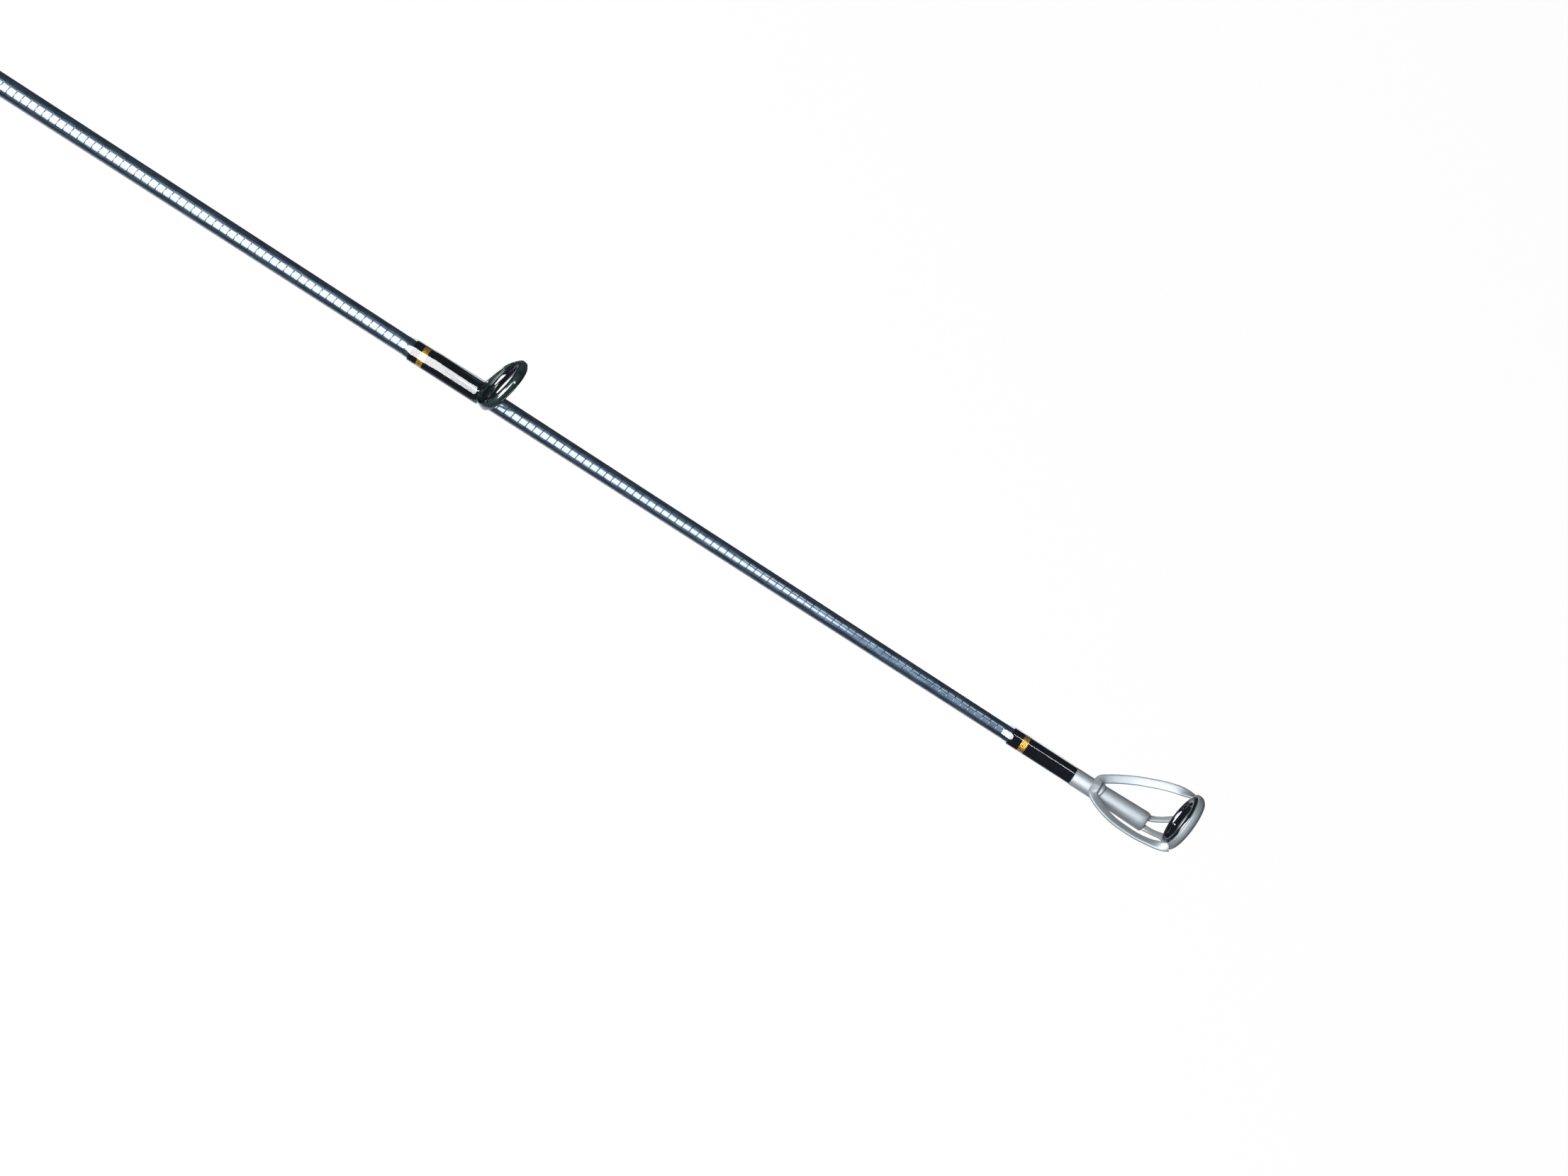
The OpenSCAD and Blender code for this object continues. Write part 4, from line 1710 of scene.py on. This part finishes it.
    def leg(self, side: int) -> bmesh.types.BMesh:
        """One short leg from the tube's nose to the bottom of the band.

        Args:
            side: 1 for the left leg, -1 for the right one.

        Returns:
            The mesh.
        """
        up = Vector((math.sin(self.lean), 0, math.cos(self.lean)))
        foot = self.centre - up * (self.ring_r * 0.90)
        stations = [
            (Vector((self.tube_x1 - 0.3 * MM, side * 0.86 * MM, 0.0)), 1.0),
            (Vector((self.tube_x1 + 0.5 * MM, side * 0.95 * MM, 0.22 * MM)), 0.92),
            (Vector((self.tube_x1 + 1.5 * MM, side * 1.2 * MM, 0.85 * MM)), 0.86),
            (Vector((foot.x - 0.95 * MM, side * 1.5 * MM, foot.z - 0.25 * MM)), 1.0),
            (Vector((foot.x - 0.45 * MM, side * 1.62 * MM, foot.z + 0.06 * MM)), 1.35),
        ]
        path = curve([p for p, _ in stations], 5)
        widths = [w[0] for w in curve([(w, 0) for _, w in stations], 5)]
        facing = Vector((-0.45, 0, 0.9)).normalized()
        cuts = [
            Section(cut.centre, cut.side * wide, cut.rise, cut.power)
            for cut, wide in zip(strip(path, [facing] * len(path), 1.0 * MM, 0.45 * MM), widths)
        ]
        return lofted(cuts, 16)

    def solder(self) -> bmesh.types.BMesh:
        """The bead of solder where the strip meets the tube.

        Returns:
            The mesh.
        """
        cuts = []
        steps = 14
        for i in range(steps + 1):
            t = i / steps * 2 - 1
            angle = t * math.radians(62)
            radius = self.tube_r + 0.03 * MM
            x = self.tube_x0 + self.saddle_in + 1.05 * MM - 0.25 * MM * t * t
            middle = Vector((x, radius * math.sin(angle), radius * math.cos(angle)))
            out = Vector((0, math.sin(angle), math.cos(angle)))
            size = 0.26 * MM * math.sqrt(max(1.0 - t * t, 0.02))
            cuts.append(Section(middle, Vector((size * 1.3, 0, 0)), out * size, 2.0))
        return lofted(cuts, 14)

    def build(self, bench: Bench) -> None:
        """Makes the tip top and its wrap.

        Args:
            bench: Where pieces are made.
        """
        bench.add(self.tube(), "tiptop_flared_tube", Body.TIP, TIP_METAL, ["tiptop_tube"], crease=60.0)
        bench.add(self.ring(), "tiptop_polished_ring", Body.TIP, CERAMIC, ["tiptop_ring"], crease=80.0)
        bench.add(self.fork(), "tiptop_fork", Body.TIP, TIP_METAL, ["tiptop_frame"], crease=50.0)
        bench.add(self.band(), "tiptop_band", Body.TIP, TIP_METAL, crease=60.0)
        for side, label in ((1, "left"), (-1, "right")):
            bench.add(self.leg(side), f"tiptop_{label}_leg", Body.TIP, TIP_METAL, crease=50.0)
        bench.add(self.solder(), "tiptop_solder", Body.TIP, TIP_METAL, crease=60.0)
        wrap = wrap_between(self.taper, "tiptop")
        wrap.gold_x0 += self.gold_shift
        wrap.gold_x1 += self.gold_shift
        wrap.build(bench, "tiptop", Body.TIP)


# ---------------------------------------------------------------------------------------------
# Handle
# ---------------------------------------------------------------------------------------------


@dataclass
class Handle:
    """Everything behind the blank: cap, grips, trim rings and the reel seat."""

    taper: Taper
    sides: int = 96
    groove: float = 0.35 * MM
    knurls: int = 36
    dome_r: float = 2.5 * MM
    rib_pitch: float = 2.2 * MM
    rib_deep: float = 0.5 * MM

    def capped(self, line: Points) -> list[tuple[float, float]]:
        """Closes an outside line down onto the blank.

        Args:
            line: Points of x and radius.

        Returns:
            The closed profile's points.
        """
        ends = [(x, self.taper.radius(x) + 0.01 * MM) for x in (line[0][0], line[-1][0])]
        return [ends[0], *line, ends[1]]

    def butt_cap(self) -> bmesh.types.BMesh:
        """The rubber cap: a domed end, and grooves round its side.

        Returns:
            The mesh.
        """
        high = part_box("butt_cap")[1]
        r, end = min(high.y, high.z) - 0.005 * MM, high.x
        turns = [math.pi / 2 * i / 8 for i in range(9)]
        line = [(0.0, 0.0), (0.0, r - 5 * MM), (0.25 * MM, r - 4.6 * MM), (0.25 * MM, r - 4.0 * MM)]
        line += [(0.0, r - 3.6 * MM)]
        line += [(self.dome_r * (1 - math.cos(a)), r - self.dome_r * (1 - math.sin(a))) for a in turns]
        x, low_r = 4.2 * MM, r - self.rib_deep
        while x < end - 3 * MM:
            line += [(x, r), (x + 0.2 * MM, low_r), (x + 0.8 * MM, low_r), (x + 1.0 * MM, r)]
            x += self.rib_pitch
        line += [(end - 0.9 * MM, r), (end - 0.25 * MM, r - 0.3 * MM), (end, r - 0.95 * MM)]
        inner = self.taper.radius(end) + 0.01 * MM
        line += [(end, inner), (3.2 * MM, inner), (3.2 * MM, 0.0)]
        bm = spun(line, self.sides)
        bmesh.ops.recalc_face_normals(bm, faces=bm.faces)
        return bm

    def trim_ring(self, node: str, grooves: int) -> bmesh.types.BMesh:
        """A turned metal ring with a V groove or two.

        Args:
            node: The node that it stands for.
            grooves: How many grooves it has.

        Returns:
            The mesh.
        """
        low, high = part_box(node)
        line = outer_line(node)
        x0, x1 = low.x, high.x
        first, last = line[0], line[-1]

        def radius(x: float) -> float:
            """The outside radius at x, on the straight line from end to end."""
            share = (x - first[0]) / max(last[0] - first[0], 1e-9)
            return first[1] + (last[1] - first[1]) * share

        corner, chamfer = 0.5 * MM, 0.15 * MM
        made = [
            (x0, first[1] - corner),
            (x0 + chamfer, first[1] - 0.2 * MM),
            (x0 + corner, radius(x0 + corner)),
        ]
        for i in range(grooves):
            x = x0 + (x1 - x0) * (i + 1) / (grooves + 1)
            made += [(x - 0.2 * MM, radius(x)), (x, radius(x) - 0.2 * MM), (x + 0.2 * MM, radius(x))]
        made += [
            (x1 - corner, radius(x1 - corner)),
            (x1 - chamfer, last[1] - 0.2 * MM),
            (x1, last[1] - corner),
        ]
        return spun(self.capped(made), self.sides, closed=True)

    def foam_grip(self, node: str) -> bmesh.types.BMesh:
        """A ground foam grip, with its end corners rounded.

        Args:
            node: The node that it stands for.

        Returns:
            The mesh.
        """
        low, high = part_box(node)
        line = outer_line(node)
        first, last = line[0][1], line[-1][1]
        made = [
            (low.x, first - 0.9 * MM),
            (low.x + 0.12 * MM, first - 0.4 * MM),
            (low.x + 0.5 * MM, first - 0.1 * MM),
            *[(x, r) for x, r in line if low.x + 1 * MM < x < high.x - 1 * MM],
            (high.x - 0.5 * MM, last - 0.1 * MM),
            (high.x - 0.12 * MM, last - 0.4 * MM),
            (high.x, last - 0.9 * MM),
        ]
        return spun(self.capped(made), self.sides, closed=True)

    def locking_nut(self) -> bmesh.types.BMesh:
        """The nut: a knurled collar, and a plain skirt under the foam sleeve.

        Returns:
            The mesh.
        """
        low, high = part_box("locking_nut")
        x0, x1, r = low.x, high.x, high.z
        bore = min(math.hypot(v.co.y, v.co.z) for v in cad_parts["locking_nut"].data.vertices)
        collar = x0 + 3.2 * MM
        steps = 9
        line = [(x0, bore), (x0, r - 0.5 * MM)]
        line += [(x0 + 0.35 * MM + (collar - x0 - 0.7 * MM) * i / steps, r) for i in range(steps + 1)]
        line += [(collar, r - 0.6 * MM), (collar + 0.2 * MM, r - 1.0 * MM)]
        line += [(x1 - 1.5 * MM, r - 1.0 * MM), (x1 - 0.4 * MM, r - 1.5 * MM), (x1, r - 1.9 * MM)]
        line += [(x1, bore)]
        bm = spun(line, self.knurls * 6, closed=True)

        def knurled(x: float, angle: float, now: float) -> float:
            """The radius of the collar's outside, with a groove between knurls.

            Args:
                x: The place along the rod, which makes no difference.
                angle: The angle about it.
                now: The radius before.

            Returns:
                The radius.
            """
            if now < r - 0.05 * MM:
                return now
            return now - self.groove * max(0.0, math.cos(angle * self.knurls)) ** 1.5

        reshaped(bm, knurled)
        return bm

    def nut_sleeve(self) -> bmesh.types.BMesh:
        """The foam sleeve round the nut.

        Returns:
            The mesh.
        """
        low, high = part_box("nut_sleeve")
        r = high.z
        inner = r - 1.49 * MM
        ends = [(low.x, inner), (low.x, r - 0.5 * MM), (low.x + 0.2 * MM, r - 0.15 * MM)]
        ends += [(low.x + 0.6 * MM, r)]
        steps, waist = 10, 0.25 * MM
        start, run = low.x + 0.6 * MM, high.x - low.x - 1.2 * MM
        middle = [
            (start + run * i / steps, r - waist * math.sin(math.pi * i / steps)) for i in range(1, steps)
        ]
        other = [(low.x + high.x - x, y) for x, y in reversed(ends)]
        return spun([*ends, *middle, *other], self.sides, closed=True)

    def build(self, bench: Bench) -> None:
        """Makes the handle.

        Args:
            bench: Where pieces are made.
        """
        bench.add(self.butt_cap(), "butt_cap_ribbed", Body.BUTT, RUBBER, ["butt_cap"])
        for node, grooves in (("butt_trim", 1), ("rear_check", 1), ("winding_check", 2)):
            ring = self.trim_ring(node, grooves)
            bench.add(ring, f"{node}_ring", Body.BUTT, GOLD_METAL, [node], crease=30.0)
        for node in ("rear_grip", "fore_grip"):
            bench.add(self.foam_grip(node), f"{node}_foam", Body.BUTT, FOAM, [node])
        bench.dress("seat_arbor", ARBOR)
        seat = rounded("reel_seat", 0.4 * MM, 3, 32.0)
        bench.add(seat, "reel_seat_moulding", Body.BUTT, SEAT_PLASTIC, ["reel_seat"], crease=12.0)
        for node, body in (("fixed_hood", Body.BUTT), ("moving_hood", Body.HOOD)):
            hood = rounded(node, 0.22 * MM, 3, 30.0)
            bench.add(hood, f"{node}_shell", body, HOOD_METAL, [node], crease=12.0)
        nut = self.locking_nut()
        bench.add(nut, "locking_nut_knurled", Body.NUT, SEAT_PLASTIC, ["locking_nut"], crease=30.0)
        bench.add(self.nut_sleeve(), "nut_sleeve_foam", Body.NUT, FOAM, ["nut_sleeve"])


# ---------------------------------------------------------------------------------------------
# Hook keeper
# ---------------------------------------------------------------------------------------------


@dataclass
class Keeper:
    """The small folding loop that holds the hook."""

    taper: Taper
    wire: float = 0.5 * MM
    thread: float = 0.25 * MM
    half_gap: float = 2.4 * MM
    sides: int = 14

    def loop(self) -> bmesh.types.BMesh:
        """The wire loop with its pin.

        Returns:
            The mesh.
        """
        low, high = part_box("keeper_loop")
        x = (low.x + high.x) / 2
        pivot = high.z - self.wire
        half = high.y - self.wire
        bottom = low.z + self.wire + half
        points = [Vector((x, -half + 2 * half * i / 8, pivot)) for i in range(9)]
        points += [Vector((x, half, pivot + (bottom - pivot) * i / 5)) for i in range(1, 6)]
        points += [
            Vector((x, half * math.cos(math.pi * i / 16), bottom - half * math.sin(math.pi * i / 16)))
            for i in range(1, 17)
        ]
        points += [Vector((x, -half, bottom + (pivot - bottom) * i / 5)) for i in range(1, 5)]
        cuts = []
        total = len(points)
        for i, point in enumerate(points):
            ahead = (points[(i + 1) % total] - points[i - 1]).normalized()
            side = Vector((1, 0, 0))
            cuts.append(Section(point, side * self.wire, ahead.cross(side) * self.wire, 2.0))
        return lofted(cuts, self.sides, closed=True)

    def wraps(self, bench: Bench) -> None:
        """The two thread wraps over the keeper's foot.

        Args:
            bench: Where pieces are made.
        """
        low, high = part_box("keeper_wrap")
        middle = (low.x + high.x) / 2
        outer = abs(low.z)

        def lifted(x: float, angle: float, now: float) -> float:
            """The radius of the wrap where it lies over the foot.

            Args:
                x: The place along the rod.
                angle: The angle about it, which makes no difference.
                now: The radius of the same wrap on the bare blank.

            Returns:
                The radius.
            """
            rise = now - self.taper.radius(x)
            return outer - self.thread + rise if rise > 0 else now

        ends = (("rear", low.x, middle - self.half_gap), ("front", middle + self.half_gap, high.x))
        for label, x0, x1 in ends:
            bm = Wrap(self.taper, x0, x1, x0, x0, x0, x1).turns(x0, x1, self.thread)
            reshaped(bm, lifted)
            nodes = ["keeper_wrap"] if label == "rear" else []
            bench.add(bm, f"keeper_thread_{label}", Body.BUTT, THREAD, nodes)

    def build(self, bench: Bench) -> None:
        """Makes the keeper.

        Args:
            bench: Where pieces are made.
        """
        loop, foot = self.loop(), rounded("keeper_foot", 0.1 * MM, 2, 30.0)
        bench.add(loop, "keeper_wire_loop", Body.KEEPER, KEEPER_METAL, ["keeper_loop"], crease=80.0)
        bench.add(foot, "keeper_foot_plate", Body.BUTT, KEEPER_METAL, ["keeper_foot"], crease=30.0)
        self.wraps(bench)


# ---------------------------------------------------------------------------------------------
# Studio
# ---------------------------------------------------------------------------------------------


@dataclass
class Studio:
    """Camera, floor and lights."""

    aim_x: float = 1764.6 * MM
    distance: float = 500 * MM
    view_wide: float = 219.4 * MM
    sensor: float = 36.0
    elevation: float = math.radians(60)
    roll: float = math.radians(32.82)
    floor_z: float = -450 * MM
    floor_half: float = 45.0
    light_away: float = 1.0

    def axes(self) -> tuple[Vector, Vector]:
        """The direction from the rod to the camera, and the one across it and the rod.

        Returns:
            Both directions.
        """
        towards = Vector((0, -math.cos(self.elevation), math.sin(self.elevation)))
        across = Vector((0, math.sin(self.elevation), math.cos(self.elevation)))
        return towards, across

    def camera(self) -> None:
        """Looks down at the rod's end, with the rod running down to the right."""
        towards, across = self.axes()
        along = Vector((1, 0, 0))
        right = along * math.cos(self.roll) + across * math.sin(self.roll)
        up = across * math.cos(self.roll) - along * math.sin(self.roll)
        data = bpy.data.cameras.new("camera")
        data.sensor_width = self.sensor
        data.lens = self.sensor * self.distance / self.view_wide
        data.clip_start, data.clip_end = 0.01, 100.0
        camera = bpy.data.objects.new("camera", data)
        centre = Vector((self.aim_x, 0, 0)) + across * 0.18 * MM
        turn = Matrix((right, up, towards)).transposed().to_4x4()
        camera.matrix_world = Matrix.Translation(centre + towards * self.distance) @ turn
        bpy.context.scene.collection.objects.link(camera)
        bpy.context.scene.camera = camera

    def floor(self) -> None:
        """A large plain floor, well below the rod."""
        bm = bmesh.new()
        bmesh.ops.create_grid(bm, x_segments=1, y_segments=1, size=self.floor_half)
        bmesh.ops.translate(bm, verts=bm.verts, vec=(0, 0, self.floor_z))
        self.set_down("floor", bm)

    def wall(self) -> None:
        """A plain wall far round the floor, of the floor's finish."""
        bm = spun([(0.0, self.floor_half), (self.floor_half * 2, self.floor_half)], 64)
        bm.transform(Matrix.Rotation(-math.pi / 2, 4, "Y"))
        bmesh.ops.translate(bm, verts=bm.verts, vec=(0, 0, self.floor_z))
        self.set_down("wall", bm)

    @staticmethod
    def set_down(name: str, bm: bmesh.types.BMesh) -> None:
        """Makes a staging piece that neither lights the rod nor shows in its gloss.

        Args:
            name: The piece's name.
            bm: Its mesh, in place. It is freed.
        """
        mesh = bpy.data.meshes.new(name)
        bm.to_mesh(mesh)
        bm.free()
        mesh.materials.append(FloorFinish().material())
        piece = bpy.data.objects.new(name, mesh)
        piece.visible_glossy = False
        piece.visible_diffuse = False
        bpy.context.scene.collection.objects.link(piece)

    def softbox(
        self,
        name: str,
        x: float,
        angle: float,
        size: tuple[float, float],
        power: float,
        shape: str = "ELLIPSE",
        tint: Sequence[float] = (1, 1, 1),
    ) -> None:
        """An area light that the camera doesn't see.

        Args:
            name: The light's name.
            x: Where along the rod it is, and faces.
            angle: How far it is turned about the rod from the camera's side, in degrees.
            size: Its width and height.
            power: Its power, in watts.
            shape: Its outline.
            tint: Its colour.
        """
        data = bpy.data.lights.new(name, "AREA")
        data.shape = shape
        data.size, data.size_y = size
        data.energy = power
        data.color = tint
        light = bpy.data.objects.new(name, data)
        to_camera, across = self.axes()
        turned = math.radians(angle)
        aim = Vector((x, 0, 0))
        at = aim + (to_camera * math.cos(turned) + across * math.sin(turned)) * self.light_away
        towards = (at - aim).normalized()
        wide = Vector((1, 0, 0))
        high = towards.cross(wide).normalized()
        wide = high.cross(towards).normalized()
        turn = Matrix((wide, high, towards)).transposed().to_4x4()
        light.matrix_world = Matrix.Translation(at) @ turn
        light.visible_camera = False
        bpy.context.scene.collection.objects.link(light)

    def lights(self) -> None:
        """A large softbox over the left of the view, a strip over its right, and one for the handle."""
        self.softbox("main_softbox", 1.375, -7, (0.86, 1.7), 33.0)
        self.softbox("tip_strip", 2.05, 34, (0.6, 0.12), 1.7, "RECTANGLE", (0.85, 0.93, 1))
        self.softbox("handle_softbox", 0.25, -10, (0.8, 0.9), 20.0)

    def world(self) -> None:
        """A dim room over a white table."""
        made = bpy.data.worlds.new("studio")
        made.use_nodes = True
        graph = Graph(made.node_tree)
        where = graph.node("ShaderNodeTexCoord").outputs["Generated"]
        height = Value(graph, graph.node("ShaderNodeSeparateXYZ", None, {0: where}).outputs["Z"])
        sky = graph.mix(height.between(-0.93, -0.7), rgb(0.85, 0.92, 1.0), rgb(0.055, 0.065, 0.08))
        lit = graph.node("ShaderNodeBackground", None, {"Color": sky, "Strength": 1.0})
        graph.node("ShaderNodeOutputWorld", None, {"Surface": lit.outputs[0]})
        bpy.context.scene.world = made
        bpy.context.scene.view_settings.view_transform = "Standard"

    def build(self) -> None:
        """Sets up the whole studio."""
        self.camera()
        self.floor()
        self.wall()
        self.lights()
        self.world()


def rod() -> Bench:
    """Builds every piece of the rod.

    Returns:
        The bench, with its counts.
    """
    bench = Bench()
    taper = Taper()
    Blank(taper).build(bench)
    for number in range(1, GUIDES + 1):
        last = number == GUIDES
        lean = math.radians(14 if last else 21)
        Guide(number, taper, lean, Body.BUTT if last else Body.TIP).build(bench)
    TipTop(taper).build(bench)
    for name, body in (("ferrule_tip", Body.TIP), ("ferrule_butt", Body.BUTT)):
        wrap_between(taper, name).build(bench, name, body)
    Handle(taper).build(bench)
    Keeper(taper).build(bench)
    return bench


def main() -> None:
    """Builds the studio and the rod, and reports the rod's counts."""
    logging.basicConfig(level=logging.INFO, format="%(name)s: %(message)s")
    Studio().build()
    bench = rod()
    LOG.info("%d pieces, %d triangles", bench.made, bench.triangles)


if __name__ == "__main__":
    main()
